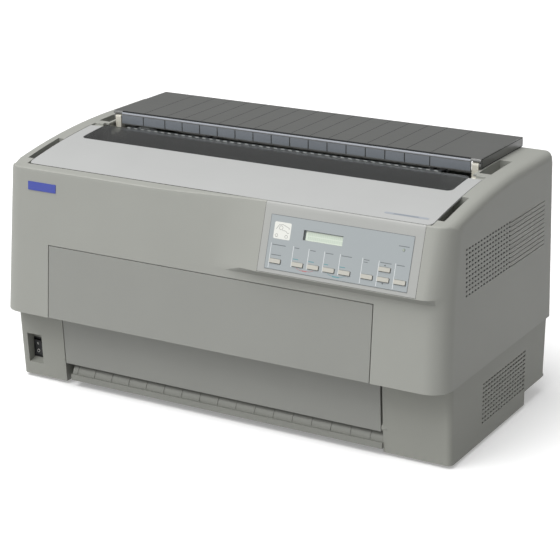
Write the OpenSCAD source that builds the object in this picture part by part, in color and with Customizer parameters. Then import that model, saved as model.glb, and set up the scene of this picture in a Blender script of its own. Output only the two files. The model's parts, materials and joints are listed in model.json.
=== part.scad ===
// Wide-carriage dot matrix printer with hinged covers, in millimetres.
// X runs across the carriage, the front is at -Y, and the table top is z = 0.

/* [Case] */
// Width of the upper case
case_w = 706; // [660:1:740]
// Depth of the upper case, front to back
case_depth = 366; // [350:1:380]
// How far the rear paper guide stands out behind the case
rear_reach = 12; // [8:1:16]
// Height of the flat top above the table
case_top = 357; // [350:1:370]
// Height of the parting line between upper and lower case
split_z = 116; // [108:1:124]
// Wall thickness of the mouldings
wall = 3; // [2.4:0.1:3.6]
// Radius of the crown that falls towards the front
crown_r = 1100; // [900:10:1600]
// Distance from the front to where the crown turns flat
crown_run = 267; // [240:1:290]
// Backward lean of the front face, in degrees
front_lean = 4.7; // [2:0.1:7]
// Plan radius of the front corners
corner_r = 30; // [20:1:40]
// Plan radius of the rear corners
rear_corner_r = 12; // [8:1:18]
// Radius along the top side edges
edge_r = 13; // [8:1:16]
// Inward draft of each side over the case's height
side_draft = 6; // [2:0.5:9]

/* [Console] */
// Distance of the console's lower lip below the flat top
lip_down = 115; // [109:0.5:121]
// How far the lip stands out of the front face
lip_out = 10; // [5:0.1:11]
// Height of the chamfer under the lip
lip_chamfer = 8.5; // [6:0.5:10]
// Tilt of the console, in degrees from upright
console_tilt = 17.5; // [14:0.1:19]
// Left edge of the console bezel
console_x = 79; // [60:1:90]
// Width of the console bezel
console_w = 232; // [222:1:236]
// Slope length of the console bezel
console_h = 87; // [84:1:88]
// Left edge of the control panel label
label_x = 89.5; // [85:0.5:95]
// Width of the control panel label
label_w = 209; // [205:1:212]
// Slope height of the control panel label
label_h = 72; // [68:1:76]
// Distance of the label from the lip, up the slope
label_up = 6.5; // [5:0.5:10]
// Width of a push button
button_w = 16.5; // [14:0.5:18]
// Height of a push button
button_h = 5.6; // [4.5:0.1:6.5]
// Travel of a push button
button_travel = 1.2; // [0.8:0.1:1.6]
// Height of the main button row above the lip, up the slope
button_up = 17.9; // [14:0.1:20]

/* [Lower case] */
// How far the lower case's sides sit inside the upper case's
base_inset = 3; // [3:0.5:8]
// How far its front sits behind the upper case's lower edge
base_setback = 32; // [28:1:36]
// Lean of the lower front, in degrees
base_lean = 3.5; // [2:0.1:5]
// Gap below the lower case, filled by the feet
base_clear = 5; // [4:0.5:8]
// How far its back sits inside the upper case's
base_rear_inset = 8; // [5:1:12]
// Height of the step under its rear
rear_step_h = 20; // [12:1:26]
// Length of the step under its rear
rear_step_l = 76; // [60:1:90]
// Radius of its front corners
base_corner_r = 8; // [5:1:12]
// Diameter of a rubber foot
foot_d = 22; // [16:1:28]

/* [Paper path] */
// Sideways offset of the paper path from the middle of the case
path_x = -11; // [-20:1:-8]
// Spacing of the paper guide ribs
rib_pitch = 30; // [26:0.5:31]
// Width of the front cover
cover_w = 516; // [508:1:522]
// Seam between the front cover and the mouldings round it
cover_gap = 0.9; // [0.6:0.1:1.4]
// Distance of the front cover's top edge below the console's lip
cover_drop = 20.5; // [16:0.5:28]
// Height of the front cover's bottom edge above the table
cover_bottom = 34; // [30:0.5:38]
// Radius of the hinge pins of the covers
pin_r = 3; // [2.5:0.1:3.2]
// Running clearance on the radius of a pin or shaft
run_fit = 0.05; // [0.03:0.01:0.08]

/* [Top covers] */
// Width of the printer cover
lid_w = 633; // [620:1:640]
// Distance of its front seam behind the case's front foot
lid_front = 32; // [30:0.5:34]
// Distance of its rear edge in front of the paper eject cover
lid_rear_gap = 34; // [32:0.5:36]
// Width of the window in the printer cover
window_w = 592; // [560:1:596]
// Depth of the window in the printer cover, up to the cover's rear edge
window_depth = 52.5; // [46:0.5:60]
// Width of the paper eject cover
eject_w = 597; // [588:1:598]
// Distance of the paper eject cover's rear edge in front of the case's back
eject_inset = 1; // [0.5:0.1:2]
// Depth of the paper eject cover
eject_depth = 145; // [138:1:146]
// Height of the paper eject cover above the case top
eject_h = 14.5; // [13:0.5:16]
// Number of ribs under the paper eject cover
eject_ribs = 16; // [12:1:16]
// Length of the finger recess beside the printer cover
grip_l = 74; // [66:1:80]
// Width of the finger recess beside the printer cover
grip_w = 12; // [10:0.5:13]
// Depth of the finger recesses
grip_deep = 22; // [16:1:24]

/* [Vents] */
// Pitch of the vent rows
vent_row = 6.2; // [5.8:0.1:6.6]
// Pitch of the vent columns
vent_col = 9.2; // [8:0.1:9.8]
// Rows of holes in the upper vents
vent_rows = 11; // [7:1:11]
// Columns of holes in each vent
vent_cols = 16; // [10:1:16]
// Height of a vent hole
vent_h = 2.6; // [2:0.1:3.2]
// Width of a vent hole
vent_w = 5; // [3.5:0.1:6]

/* [Mechanism] */
// Distance of the left side frame from the case's left side
frame_left = 50; // [46:1:54]
// Distance of the right side frame from the case's right side
frame_right = 78; // [74:1:82]
// Thickness of the side frames
frame_t = 2.5; // [2:0.1:3]
// Diameter of the platen's rubber
platen_d = 38; // [34:0.5:40]
// Length of the platen's rubber
platen_l = 452; // [430:1:470]
// Diameter of the platen shaft
shaft_d = 12; // [10:0.5:13]
// Diameter of the carriage rods
rod_d = 12; // [10:0.5:13]
// Diameter of the tractor shafts
tractor_shaft_d = 9; // [8:0.5:10]
// Gear module
gear_m = 1.5; // [1.4:0.05:1.55]
// Width of the gear teeth
gear_w = 8; // [6:0.5:9]
// Width of a tractor
tractor_w = 22; // [18:1:24]
// Length of a front tractor
tractor_l = 68; // [64:1:72]
// Diameter of the cooling fan's rotor
fan_d = 54; // [46:1:55]

/* [Hidden] */
case_grey = "#a9aaa5";
lid_grey = "#c3c4c2";
base_grey = "#8f908a";
steel = "#b4b8ba";
smoke = "#5f5f5c";
ivory = "#d9d6c8";
black = "#2a2b2c";
brass = "#b89a56";
board_green = "#3d6b45";
motor_grey = "#3a3d40";
ground = "#d5d8da";

// Planes and places that follow from the sizes above
half_w = case_w / 2;
lip_z = case_top - lip_down;
cover_top = lip_z - cover_drop;
front_y = -(case_depth + rear_reach) / 2;
back_y = front_y + case_depth;
crown_y = front_y + crown_run;
crown_cz = case_top - crown_r;
base_half = half_w - base_inset;
base_front = front_y + base_setback;
base_back = back_y - base_rear_inset;
floor_z = base_clear + wall;
cover_x0 = path_x - cover_w / 2;
cover_x1 = path_x + cover_w / 2;
frame_x0 = frame_left - half_w;
frame_x1 = half_w - frame_right;
inner_x0 = frame_x0 + frame_t;
inner_x1 = frame_x1 - frame_t;

// Top covers and their hinges
lid_t = 3;
lid_seam = 0.8;
seat_deep = lid_t + 0.3;
seat_ledge = 8;
eject_y1 = back_y - eject_inset;
eject_y0 = eject_y1 - eject_depth;
lid_y0 = front_y + lid_front;
lid_y1 = eject_y0 - lid_rear_gap;
lid_low = case_top - 67;
lid_high = case_top + 23;
lid_pivot = [lid_y1 + 5, case_top - 10];
lid_arm_x = window_w / 2 + 2;
arm_t = 3;
eject_t = 2.5;
eject_pivot = [eject_y0 + 5, case_top + 4.5];
post_w = 9.6;
post_x = eject_w / 2 - eject_t - 0.6 - post_w;
deck_hole = post_x + post_w + 0.4;
side_grip_x = eject_w / 2 + 2;

// Shafts, rods and gears, as [y, z] in the side view
pivot_z = cover_bottom + 6;
cover_pivot = [base_y(pivot_z) + 5, pivot_z];
platen_back = 155;
platen_down = 61;
platen_c = [back_y - platen_back, case_top - platen_down];
main_teeth = 40;
front_teeth = 52;
rear_teeth = 24;
pinion_teeth = 16;
function pitch_r(teeth) = gear_m * teeth / 2;
rear_idler_c = platen_c + [pitch_r(main_teeth) + pitch_r(rear_teeth), 0];
rear_shaft_c = rear_idler_c + [pitch_r(main_teeth) + pitch_r(rear_teeth), 0];
front_angle = 233.5;
front_step = pitch_r(main_teeth) + pitch_r(front_teeth);
front_idler_c = platen_c + front_step * [cos(front_angle), sin(front_angle)];
front_shaft_c = front_idler_c + front_step * [cos(front_angle), sin(front_angle)];
pinion_angle = -30;
pinion_step = pitch_r(front_teeth) + pitch_r(pinion_teeth);
pinion_c = front_idler_c + pinion_step * [cos(pinion_angle), sin(pinion_angle)];
gear_x = frame_x0 - 4 - gear_w;
rod_front = platen_c + [-84, -26];
rod_rear = platen_c + [-44, -34];
front_guide_c = front_shaft_c + [33 - tractor_l, -3];
rear_guide_c = rear_shaft_c + [tractor_l - 41, -2];
shaft_r = shaft_d / 2;
rod_r = rod_d / 2;
tractor_r = tractor_shaft_d / 2;

function lerp(a, b, t) = a + (b - a) * t;
function ease(t) = t <= 0 ? 0 : t >= 1 ? 1 : t * t * (3 - 2 * t);
function reversed(list) = [for (i = [len(list) - 1 : -1 : 0]) list[i]];
// Y of the lower case's front at a height
function base_y(z) = base_front + (split_z - z) * tan(base_lean);
// Y of the plain front face at a height
function face_y(z) = front_y + tan(front_lean) * (z - split_z);
// Y of the console's plane at a height
function console_y(z) = face_y(lip_z) - lip_out + tan(console_tilt) * (z - lip_z);
// Height of the crown at a depth
function crown_z(y) = y >= crown_y ? case_top : crown_cz + sqrt(pow(crown_r, 2) - pow(crown_y - y, 2));
// Where a line that leans back from [y, z] meets the crown
function meet(y, z, lean, n = 6) =
    n == 0 ? [y, z] : let (zz = crown_z(y)) meet(y + (zz - z) * tan(lean), zz, lean, n - 1);
// Points along the crown at a depth below it
function crown_line(y0, y1, depth) =
    let (n = max(1, ceil((y1 - y0) / 20)))
    [for (k = [0 : n]) let (y = lerp(y0, y1, k / n)) [y, crown_z(y) - depth]];
// Points of an arc round a centre
function arc(c, r, a0, a1, n = 6) = [for (k = [0 : n]) let (a = lerp(a0, a1, k / n)) c + r * [cos(a), sin(a)]];
// Outline of a rectangle with round corners
function rounded(x0, x1, y0, y1, r) = concat(
    arc([x1 - r, y1 - r], r, 0, 90), arc([x0 + r, y1 - r], r, 90, 180),
    arc([x0 + r, y0 + r], r, 180, 270), arc([x1 - r, y0 + r], r, 270, 360));

// How far to the left the console's form fades out, above and below the lip
console_blend = 190;
lip_blend = 76;
function top_share(x) = ease((x - (console_x - console_blend)) / console_blend);
function lip_share(x) =
    ease((x - (console_x - lip_blend)) / lip_blend) * (1 - ease((x - (half_w - corner_r)) / corner_r));

// One upright section of the upper case at x, grown inwards by d
front_fillet = 6;
rear_fillet = 6;
crown_steps = 10;
function case_section(x, d) =
    let (ax = abs(x) + d,
         run_f = max(0, ax - (half_w - corner_r)),
         run_b = max(0, ax - (half_w - rear_corner_r)),
         run_t = max(0, ax - (half_w - edge_r)),
         in_f = corner_r - sqrt(max(0, pow(corner_r, 2) - pow(run_f, 2))),
         in_b = rear_corner_r - sqrt(max(0, pow(rear_corner_r, 2) - pow(run_b, 2))),
         drop = edge_r - sqrt(max(0, pow(edge_r, 2) - pow(run_t, 2))),
         f = d + in_f,
         top = d + drop,
         low = d > 0 ? split_z - 2 : split_z,
         plain = meet(face_y(split_z), split_z, front_lean),
         tilted = meet(console_y(lip_z), lip_z, console_tilt),
         edge = lerp(plain, tilted, top_share(x)),
         lip_y = lerp(face_y(lip_z), console_y(lip_z), lip_share(x)),
         chamfer_z = lip_z - lip_chamfer,
         lean = lerp(front_lean, console_tilt, top_share(x)),
         after = edge[0] + front_fillet)
    concat(
        [[back_y - d - in_b, low], [face_y(low) + f, low], [face_y(chamfer_z) + f, chamfer_z],
         [lip_y + f, lip_z]],
        [for (k = [0 : 3]) let (a = k / 3, q = front_fillet * pow(1 - a, 2))
            [edge[0] + f + (after - edge[0]) * a * a - tan(lean) * q,
             lerp(edge[1] - q, crown_z(after), a * (2 - a)) - top]],
        [for (k = [1 : crown_steps]) let (y = lerp(after, crown_y, k / crown_steps))
            [max(y, after + f), crown_z(y) - top]],
        [for (a = [90 : -22.5 : 0])
            [back_y - d - in_b - rear_fillet + rear_fillet * cos(a),
             case_top - top - rear_fillet + rear_fillet * sin(a)]]);

// Places across the case where a section stands
function end_places(d) =
    [for (a = [90, 78, 66, 54, 42, 28, 14, 0]) half_w - corner_r + (corner_r - d) * sin(a)];
function places(d) = let (e = end_places(d)) concat(
    [for (x = e) -x],
    [for (k = [0 : 7]) console_x - console_blend + console_blend * k / 7],
    reversed(e));

// The upper case's outside as a loft of sections, grown inwards by d
module case_form(d = 0) {
    xs = places(d);
    sections = [for (x = xs) case_section(x, d)];
    n = len(sections[0]);
    m = len(xs);
    shrink = side_draft / (case_top - split_z) / half_w;
    points = [for (i = [0 : m - 1], p = sections[i]) [xs[i] * (1 - shrink * (p[1] - split_z)), p[0], p[1]]];
    side = [for (i = [0 : m - 2], j = [0 : n - 1])
        let (a = i * n + j, b = i * n + (j + 1) % n) each [[a, b, b + n], [a, b + n, a + n]]];
    caps = [[for (j = [n - 1 : -1 : 0]) j], [for (j = [0 : n - 1]) (m - 1) * n + j]];
    polyhedron(points = points, faces = concat(side, caps), convexity = 8);
}

// A box between two corners
module span(a, b) {
    translate(a) cube(b - a);
}

// A prism along X from a list of [y, z] points
module along_x(x0, x1, points) {
    translate([x0, 0, 0]) rotate([90, 0, 90]) linear_extrude(x1 - x0) polygon(points);
}

// A rod or bore along X at [y, z]
module rod_x(x0, x1, at, r) {
    translate([x0, at[0], at[1]]) rotate([0, 90, 0]) cylinder(h = x1 - x0, r = r, $fn = 48);
}

// A tube along X round a point in the side view
module tube_x(x0, x1, at, r, hole) {
    difference() {
        rod_x(x0, x1, at, r);
        rod_x(x0 - 1, x1 + 1, at, hole);
    }
}

// A band that follows the crown between two depths below it
module crown_block(x0, x1, y0, y1, d0, d1) {
    along_x(x0, x1, concat(crown_line(y0, y1, d1), reversed(crown_line(y0, y1, d0))));
}

// Lays its children on the console's plane: X across, Y up the slope, Z outwards, from the lip
module on_console() {
    translate([0, console_y(lip_z), lip_z]) rotate([90 - console_tilt, 0, 0]) children();
}

// Both sides of the case, its children made for the right one
module both_sides() {
    children();
    mirror([1, 0, 0]) children();
}

// Rows of vent slots: grooves outside that cross slots inside, so only the crossings are open
module vent_cuts(x, y0, y1, z0, rows, length) {
    groove = wall * 0.55;
    for (r = [0 : rows - 1]) {
        z = z0 + r * vent_row;
        span([x - groove, y0 - vent_w / 2, z], [x + 6, y0 + length, z + vent_h]);
    }
    for (c = [0 : vent_cols - 1]) {
        y = y0 + c * vent_col;
        span([x - wall - 6, y - vent_w / 2, z0 - 2], [x - groove + 0.4, y + vent_w / 2, z0 + rows * vent_row]);
    }
}

// Finger pockets beside the covers
module grip_liner(x0, x1, y0, y1, cover_x) {
    crown_block(x0 - 2, cover_x + 1.6, y0 - 2, y1 + 2, seat_deep + 0.6, grip_deep + 2);
    crown_block(cover_x + 0.1, x1 + 2, y0 - 2, y1 + 2, 1, grip_deep + 2);
}

grip_setback = 15;
eject_grip_w = 18;
eject_grip_l = 70;
eject_grip_y = eject_y0 - 9;
lid_grip = [lid_w / 2 - 12, lid_w / 2 + grip_w - 1, lid_y0 + grip_setback, lid_y0 + grip_setback + grip_l];
eject_grip = [side_grip_x, side_grip_x + eject_grip_w, eject_grip_y, eject_grip_y + eject_grip_l];
rear_slot_w = 530;
rear_slot = [path_x - rear_slot_w / 2, path_x + rear_slot_w / 2, case_top - 51, case_top - 11];
upper_vent_z = case_top - 126.5;
upper_vent_l = 260;
side_lean = atan(side_draft / (case_top - split_z));
seat_end = lid_pivot[0] + 6.5;
swing_end = lid_pivot[0] + 12;

// The bezel wraps over the fold above the console, as a band between two depths
fold_edge = meet(console_y(lip_z), lip_z, console_tilt);
fold_centre = fold_edge + [9, -14];
fold_top = [fold_edge[0] + front_fillet, crown_z(fold_edge[0] + front_fillet)];
fold_curve = [for (a = [0 : 0.25 : 1]) let (q = front_fillet * pow(1 - a, 2))
    [fold_edge[0] + front_fillet * a * a - tan(console_tilt) * q,
     lerp(fold_edge[1] - q, fold_top[1], a * (2 - a))]];
function fold_line(depth) =
    [for (p = fold_curve) fold_centre + (p - fold_centre) * (1 - depth / norm(p - fold_centre))];
// A point up the console's slope and out of its plane, in the side view
function slope(along, out) = [console_y(lip_z) + along * sin(console_tilt) - out * cos(console_tilt),
    lip_z + along * cos(console_tilt) + out * sin(console_tilt)];
function bezel_profile(low, out, depth) =
    concat([slope(low, out)], fold_line(-out), reversed(fold_line(depth)), [slope(low, -depth)]);

module upper_case() {
    seat_x = lid_w / 2 + lid_seam;
    lap = 8;
    color(case_grey) difference() {
        union() {
            difference() {
                union() {
                    difference() {
                        case_form();
                        difference() {
                            case_form(wall);
                            span([-half_w, front_y - lip_out, 0], [half_w, base_front + 4, split_z + wall]);
                        }
                    }
                    crown_block(-seat_x - 3, seat_x + 3, lid_y0 - 3, lid_y1 + lap + 4, 1, seat_deep + wall);
                    on_console() span([console_x - 6, 3, -6], [console_x + console_w + 6, console_h + 1, -1]);
                    along_x(console_x - 6, console_x + console_w + 6,
                        concat(fold_line(5.5), reversed(fold_line(1))));
                }
                span([-lid_w / 2 + seat_ledge, lid_y0 + seat_ledge, lid_low],
                    [lid_w / 2 - seat_ledge, lid_y1 - seat_ledge, lid_high]);
                span([-lid_arm_x - arm_t - 1.4, lid_y0 + seat_ledge, lid_low],
                    [lid_arm_x + arm_t + 1.4, swing_end, lid_high]);
                span([-deck_hole, lid_pivot[0], lid_low], [deck_hole, back_y - 18, lid_high]);
            }
            both_sides() {
                grip_liner(lid_grip[0], lid_grip[1], lid_grip[2], lid_grip[3], seat_x);
                crown_block(eject_grip[0] - 2, eject_grip[1] + 2, eject_grip[2] - 2, eject_grip[3] + 2,
                    1, grip_deep + 2);
            }
        }
        crown_block(-seat_x, seat_x, lid_y0 - lid_seam, seat_end, -5, seat_deep);
        both_sides() {
            crown_block(lid_grip[0], lid_grip[1], lid_grip[2], lid_grip[3], -5, grip_deep);
            crown_block(eject_grip[0], eject_grip[1], eject_grip[2], eject_grip[3], -5, grip_deep);
            translate([half_w, 0, split_z]) rotate([0, -side_lean, 0])
                vent_cuts(0.2, front_y + 71, 0, upper_vent_z - split_z, vent_rows, upper_vent_l);
        }
        span([cover_x0 - cover_gap, front_y - lip_out - 2, split_z - 5],
            [cover_x1 + cover_gap, base_front + 8, cover_top + cover_gap]);
        along_x(console_x - 0.4, console_x + console_w + 0.4, bezel_profile(0.8, 4, bezel_t));
        on_console() span([console_x + 8, 8, -9], [console_x + console_w - 8, console_h - 8, 8]);
        span([rear_slot[0], back_y - wall - 5, rear_slot[2]], [rear_slot[1], back_y + 3, rear_slot[3]]);
    }
}

base_low = 30.4;
switch_x = -base_half + 21.5;
recess = [switch_x - 8, switch_x + 17.5, cover_bottom - 9, cover_bottom + 36];
recess_back = base_front + 19;
ramp_h = 4;
inlet_x = 50 - half_w;
inlet_z = 62;
ports = [half_w - 200, half_w - 88, 40, 78];

// The lower case's outside as a loft between its rim and its floor, grown inwards by d
module base_form(d = 0) {
    drop_in = tan(base_lean) * (split_z - base_clear);
    hull() {
        for (k = [0 : 1]) {
            inset = d + k * 0.6;
            translate([0, 0, k == 0 ? split_z - 0.1 + d : base_clear + d])
                linear_extrude(0.1) polygon(rounded(-base_half + inset, base_half - inset,
                    base_front + d + k * drop_in, base_back - d - k * 4, base_corner_r - d * 0.9));
        }
    }
}

module lower_case() {
    step_y = base_back - rear_step_l;
    color(base_grey) difference() {
        union() {
            difference() {
                base_form();
                base_form(wall);
                span([-base_half, step_y, 0], [base_half, base_back + 5, base_clear + rear_step_h]);
                span([cover_x0 - cover_gap, base_front - 5, 0], [cover_x1 + 3, base_front + 30, split_z + 5]);
            }
            span([-base_half + 1, step_y - wall, base_clear],
                [base_half - 1, step_y, base_clear + rear_step_h + 1]);
            span([-base_half + 1, step_y - wall, base_clear + rear_step_h],
                [base_half - 1, base_back - 5, base_clear + rear_step_h + wall]);
            span([cover_x0 - cover_gap - wall, base_front + 7, base_clear],
                [cover_x0 - cover_gap, base_front + 30, split_z]);
            span([cover_x1 + 3, base_front + 7, base_clear], [cover_x1 + 3 + wall, base_front + 30, split_z]);
            rod_x(cover_x0 - cover_gap - 6, cover_x0 - cover_gap - 1, cover_pivot, 5.5);
            rod_x(cover_x1 + 0.9, cover_x1 + 9, cover_pivot, 5.5);
            span([recess[0] - 2, base_front + 6, recess[2] - 2],
                [recess[1] + 2, recess_back + 2, recess[3] + 2]);
            intersection() {
                base_form();
                for (x = [cover_x0 - cover_gap - wall, cover_x1 + 3])
                    span([x, base_front, base_clear], [x + wall, base_front + 20, split_z]);
            }
        }
        rod_x(cover_x0 - cover_gap - 7, cover_x0, cover_pivot, pin_r + run_fit);
        rod_x(cover_x1, cover_x1 + 10, cover_pivot, pin_r + run_fit);
        span([recess[0], base_front - 5, recess[2]], [recess[1], recess_back, recess[3]]);
        span([switch_x - 7, recess_back - 1, recess[2] + 5], [switch_x + 7, recess_back + 5, recess[3] - 11]);
        both_sides() vent_cuts(base_half - 1.2, front_y + 137, 0, base_low, vent_rows - 1,
            vent_cols * vent_col - vent_w);
        span([inlet_x - 24, base_back - 12, inlet_z - 14], [inlet_x + 24, base_back + 3, inlet_z + 14]);
        span([ports[0], base_back - 12, ports[2]], [ports[1], base_back + 3, ports[3]]);
    }
    color(base_grey) along_x(recess[0], recess[1], concat([[recess_back, recess[2]]], [for (a = [0 : 15 : 90])
        [lerp(base_front + 6.2, recess_back, a / 90), recess[2] + ramp_h * (1 - cos(a))]]));
}

// The front cover: one stepped moulding that hinges at its foot
module front_cover() {
    t = 2.6;
    outer = [[face_y(cover_top), cover_top], [front_y, split_z], [base_front, split_z],
        [base_y(cover_bottom), cover_bottom]];
    inner = [[base_y(cover_bottom) + t, cover_bottom], [base_front + t, split_z + t],
        [front_y + t, split_z + t], [face_y(cover_top) + t, cover_top]];
    ends = [[face_y(cover_top) + 1, cover_top - 1], [front_y + 1, split_z + 1], [base_front + 1, split_z + 1],
        [base_y(cover_bottom) + 1, cover_bottom + 1], [cover_pivot[0] + 4, cover_bottom + 1],
        [cover_pivot[0] + 4, pivot_z + 4], [base_front + 10, split_z + t + 9], [front_y + 12, split_z + t + 9],
        [face_y(cover_top) + 13, cover_top - 1]];
    color(case_grey) {
        along_x(cover_x0, cover_x1, concat(outer, inner));
        for (x = [cover_x0, cover_x1 - t]) along_x(x, x + t, ends);
        for (k = [-2 : 2]) translate([k * cover_w / 5, 0, 0]) along_x(path_x - 1, path_x + 1,
            [[face_y(cover_top) + 1, cover_top - 12], [front_y + 1, split_z + 1], [base_front + 1, split_z + 1],
             [base_front + 8, split_z + t + 5], [front_y + 9, split_z + t + 5],
             [face_y(cover_top) + 7, cover_top - 12]]);
        span([cover_x0, face_y(cover_top) + 1, cover_top - t], [cover_x1, face_y(cover_top) + 11, cover_top]);
        rod_x(cover_x0 - 5, cover_x0 + t, cover_pivot, pin_r);
        rod_x(cover_x1 - t, cover_x1 + 8, cover_pivot, pin_r);
    }
}

// Smooth side profile of the paper guides, as points from foot to top
function guide_curve(a, b, bend, n = 8) =
    [for (k = [0 : n]) let (t = k / n) [lerp(a[0], b[0], pow(t, bend)), lerp(a[1], b[1], t)]];
rib_count = 17;
function rib_x(k) = path_x + (k - (rib_count - 1) / 2) * rib_pitch;
sill_top = cover_bottom + 8;

// The sill that feeds paper in under the front cover
module front_sill() {
    x0 = cover_x0 + 10;
    x1 = cover_x1 + 3;
    step_z = base_clear + 14.5;
    foot = [base_front + 7, step_z];
    head = [base_front + 28, sill_top];
    web_t = 2.4;
    curve = guide_curve(foot, head, 1.7);
    web = concat([[base_front + 3, base_clear + 6]], curve,
        [head + [2, 0], [head[0] + 2, floor_z], [base_front + 12, floor_z], [base_front + 9, base_clear + 6]]);
    color(base_grey) {
        along_x(x0, x1, concat([[base_front + 2.5, base_clear + 5.5], [base_front + 2.5, step_z]], curve,
            [head + [2.6, 0]], reversed([for (p = curve) p + [2.6, -1]]),
            [[base_front + 5.5, base_clear + 5.5]]));
        for (k = [0 : rib_count - 1]) along_x(rib_x(k) - 0.9, rib_x(k) + 0.9,
            concat([for (p = curve) p + [-1.2, 0]], [head + [1, 0]], reversed([for (p = curve) p + [1, 0]])));
        for (k = [0 : 5]) translate([lerp(x0, x1 - web_t, k / 5), 0, 0]) along_x(0, web_t, web);
    }
}

// The guide behind the front paper path, from the sill to the front tractors
module inner_guide() {
    foot = [base_front + 34, floor_z + 1.5];
    head = [front_shaft_c[0] - 58, front_shaft_c[1] - 6];
    curve = guide_curve(foot, head, 1.3);
    color("#6f706c") {
        along_x(inner_x0, inner_x1, concat(curve, reversed([for (p = curve) p + [2, 0]])));
        for (k = [0 : rib_count - 1]) along_x(rib_x(k) - 1, rib_x(k) + 1,
            concat([for (p = curve) p + [-1.6, 0]], reversed([for (p = curve) p + [1, 0]])));
        along_x(inner_x0, inner_x1, [foot, foot + [14, 0], foot + [14, 1.6], foot + [0, 1.6]]);
    }
}

// The ribbed lip where paper goes in at the back
module rear_guide() {
    z0 = rear_slot[2];
    top = concat([[back_y - 15, z0 + 6], [back_y, z0 + 5]],
        arc([back_y + rear_reach - 7, z0 - 2], 7, 90, 0, 5));
    color(case_grey) {
        along_x(rear_slot[0] + 1, rear_slot[1] - 1, concat(top,
            [[back_y + rear_reach - 2.4, z0 - 2], [back_y + 3, z0 + 2.4], [back_y + 0.3, z0],
             [back_y - 15, z0]]));
        for (k = [1 : rib_count - 2]) along_x(rib_x(k) - 1, rib_x(k) + 1,
            [[back_y - 12, z0 + 5], [back_y - 12, z0 + 7.4], [back_y + 3, z0 + 6.4], [back_y + 6, z0 + 3]]);
    }
}

// The ridged guide that turns paper up through the exit slot
module exit_guide() {
    y0 = eject_y0 - 4;
    color(ivory) {
        span([inner_x0, y0, platen_c[1] + 27], [inner_x1, y0 + 2.4, platen_c[1] + 33]);
        span([path_x - 262, y0, platen_c[1] + 27], [path_x + 252, y0 + 2.4, case_top - 9]);
        span([path_x - 262, y0, case_top - 11], [path_x + 252, y0 + 7, case_top - 9]);
        for (k = [0 : 33]) along_x(path_x - 255 + k * 15.3, path_x - 253.6 + k * 15.3,
            [[y0 - 2, case_top - 12], [y0 - 2, case_top - 8], [y0 + 6, case_top - 8], [y0 + 6, case_top - 10],
             [y0 + 1, case_top - 22]]);
    }
}

// Console: bezel, label, keys and the board behind them
bezel_t = 2.4;
label_t = 0.4;
lcd_x = label_x + 51;
lcd_up = 50.8;
lcd_w = 58;
lcd_h = 13.2;
led_at = [label_x + 196, 59.2];
led_r = 1.7;
key_columns = [14.7, 48.2, 71.4, 94.5, 117.5, 149.9, 173.4, 196.9];
key_rise = 13;
key_play = 0.3;
board_z = -9.6;
board_t = 1.6;
// Places of the keys on the label, the last one above its neighbour
keys = concat([for (x = key_columns) [label_x + x, button_up]],
    [[label_x + key_columns[6], button_up + key_rise]]);

module panel_holes(z0, z1) {
    for (k = keys) translate([k[0], k[1], z0]) linear_extrude(z1 - z0)
        polygon(rounded(-button_w / 2 - key_play, button_w / 2 + key_play,
            -button_h / 2 - key_play, button_h / 2 + key_play, 1.3));
    span([lcd_x, lcd_up, z0], [lcd_x + lcd_w, lcd_up + lcd_h, z1]);
    translate([led_at[0], led_at[1], z0]) cylinder(h = z1 - z0, r = led_r + 0.2, $fn = 24);
}

module console_bezel() {
    color(case_grey) difference() {
        translate([console_x, 0, 0]) rotate([90, 0, 90]) linear_extrude(console_w) difference() {
            polygon(bezel_profile(1.2, 0, bezel_t));
            translate([lid_y0 - lid_seam, lid_low]) square(lid_high - lid_low);
        }
        on_console() panel_holes(-bezel_t - 1, 1);
    }
}

module panel_label() {
    color("#aab3b7") on_console() difference() {
        span([label_x, label_up, 0], [label_x + label_w, label_up + label_h, label_t]);
        panel_holes(-1, 1);
    }
}

// A key with a flange behind the bezel and a stem over its switch
module key(n) {
    at = keys[n];
    color(ivory) on_console() translate([at[0], at[1], 0]) {
        translate([0, 0, -bezel_t - 1.4]) linear_extrude(bezel_t + 3)
            polygon(rounded(-button_w / 2, button_w / 2, -button_h / 2, button_h / 2, 1.2));
        span([-button_w / 2 - 1.2, -button_h / 2 - 1, -bezel_t - 1.6],
            [button_w / 2 + 1.2, button_h / 2 + 1, -bezel_t - 0.3]);
    }
}

module button_1() { key(0); }
module button_2() { key(1); }
module button_3() { key(2); }
module button_4() { key(3); }
module button_5() { key(4); }
module button_6() { key(5); }
module button_7() { key(6); }
module button_8() { key(7); }
module button_9() { key(8); }

module panel_board() {
    switch_top = -bezel_t - 1.6 - button_travel - 0.2;
    color(board_green) on_console() {
        span([console_x + 12, 10, board_z], [console_x + console_w - 12, console_h - 10, board_z + board_t]);
        for (x = [console_x + 11, console_x + console_w - 15], y = [10, console_h - 14])
            span([x, y, board_z], [x + 4, y + 4, -bezel_t]);
        for (k = keys) span([k[0] - 3, k[1] - 3, board_z], [k[0] + 3, k[1] + 3, switch_top]);
        span([lcd_x - 4, lcd_up - 4, board_z], [lcd_x + lcd_w + 4, lcd_up + lcd_h + 4, -bezel_t - 0.2]);
        span([lcd_x + 0.4, lcd_up + 0.4, board_z], [lcd_x + lcd_w - 0.4, lcd_up + lcd_h - 0.4, -bezel_t + 0.6]);
        translate([led_at[0], led_at[1], board_z]) cylinder(h = -board_z + label_t + 0.4, r = led_r, $fn = 24);
    }
}

// Power switch: a rocker in a housing behind the recess
rocker_w = 12.4;
rocker_h = 27;
rocker_c = [recess_back + 1.2, (recess[2] + recess[3]) / 2 - 3];

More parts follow.
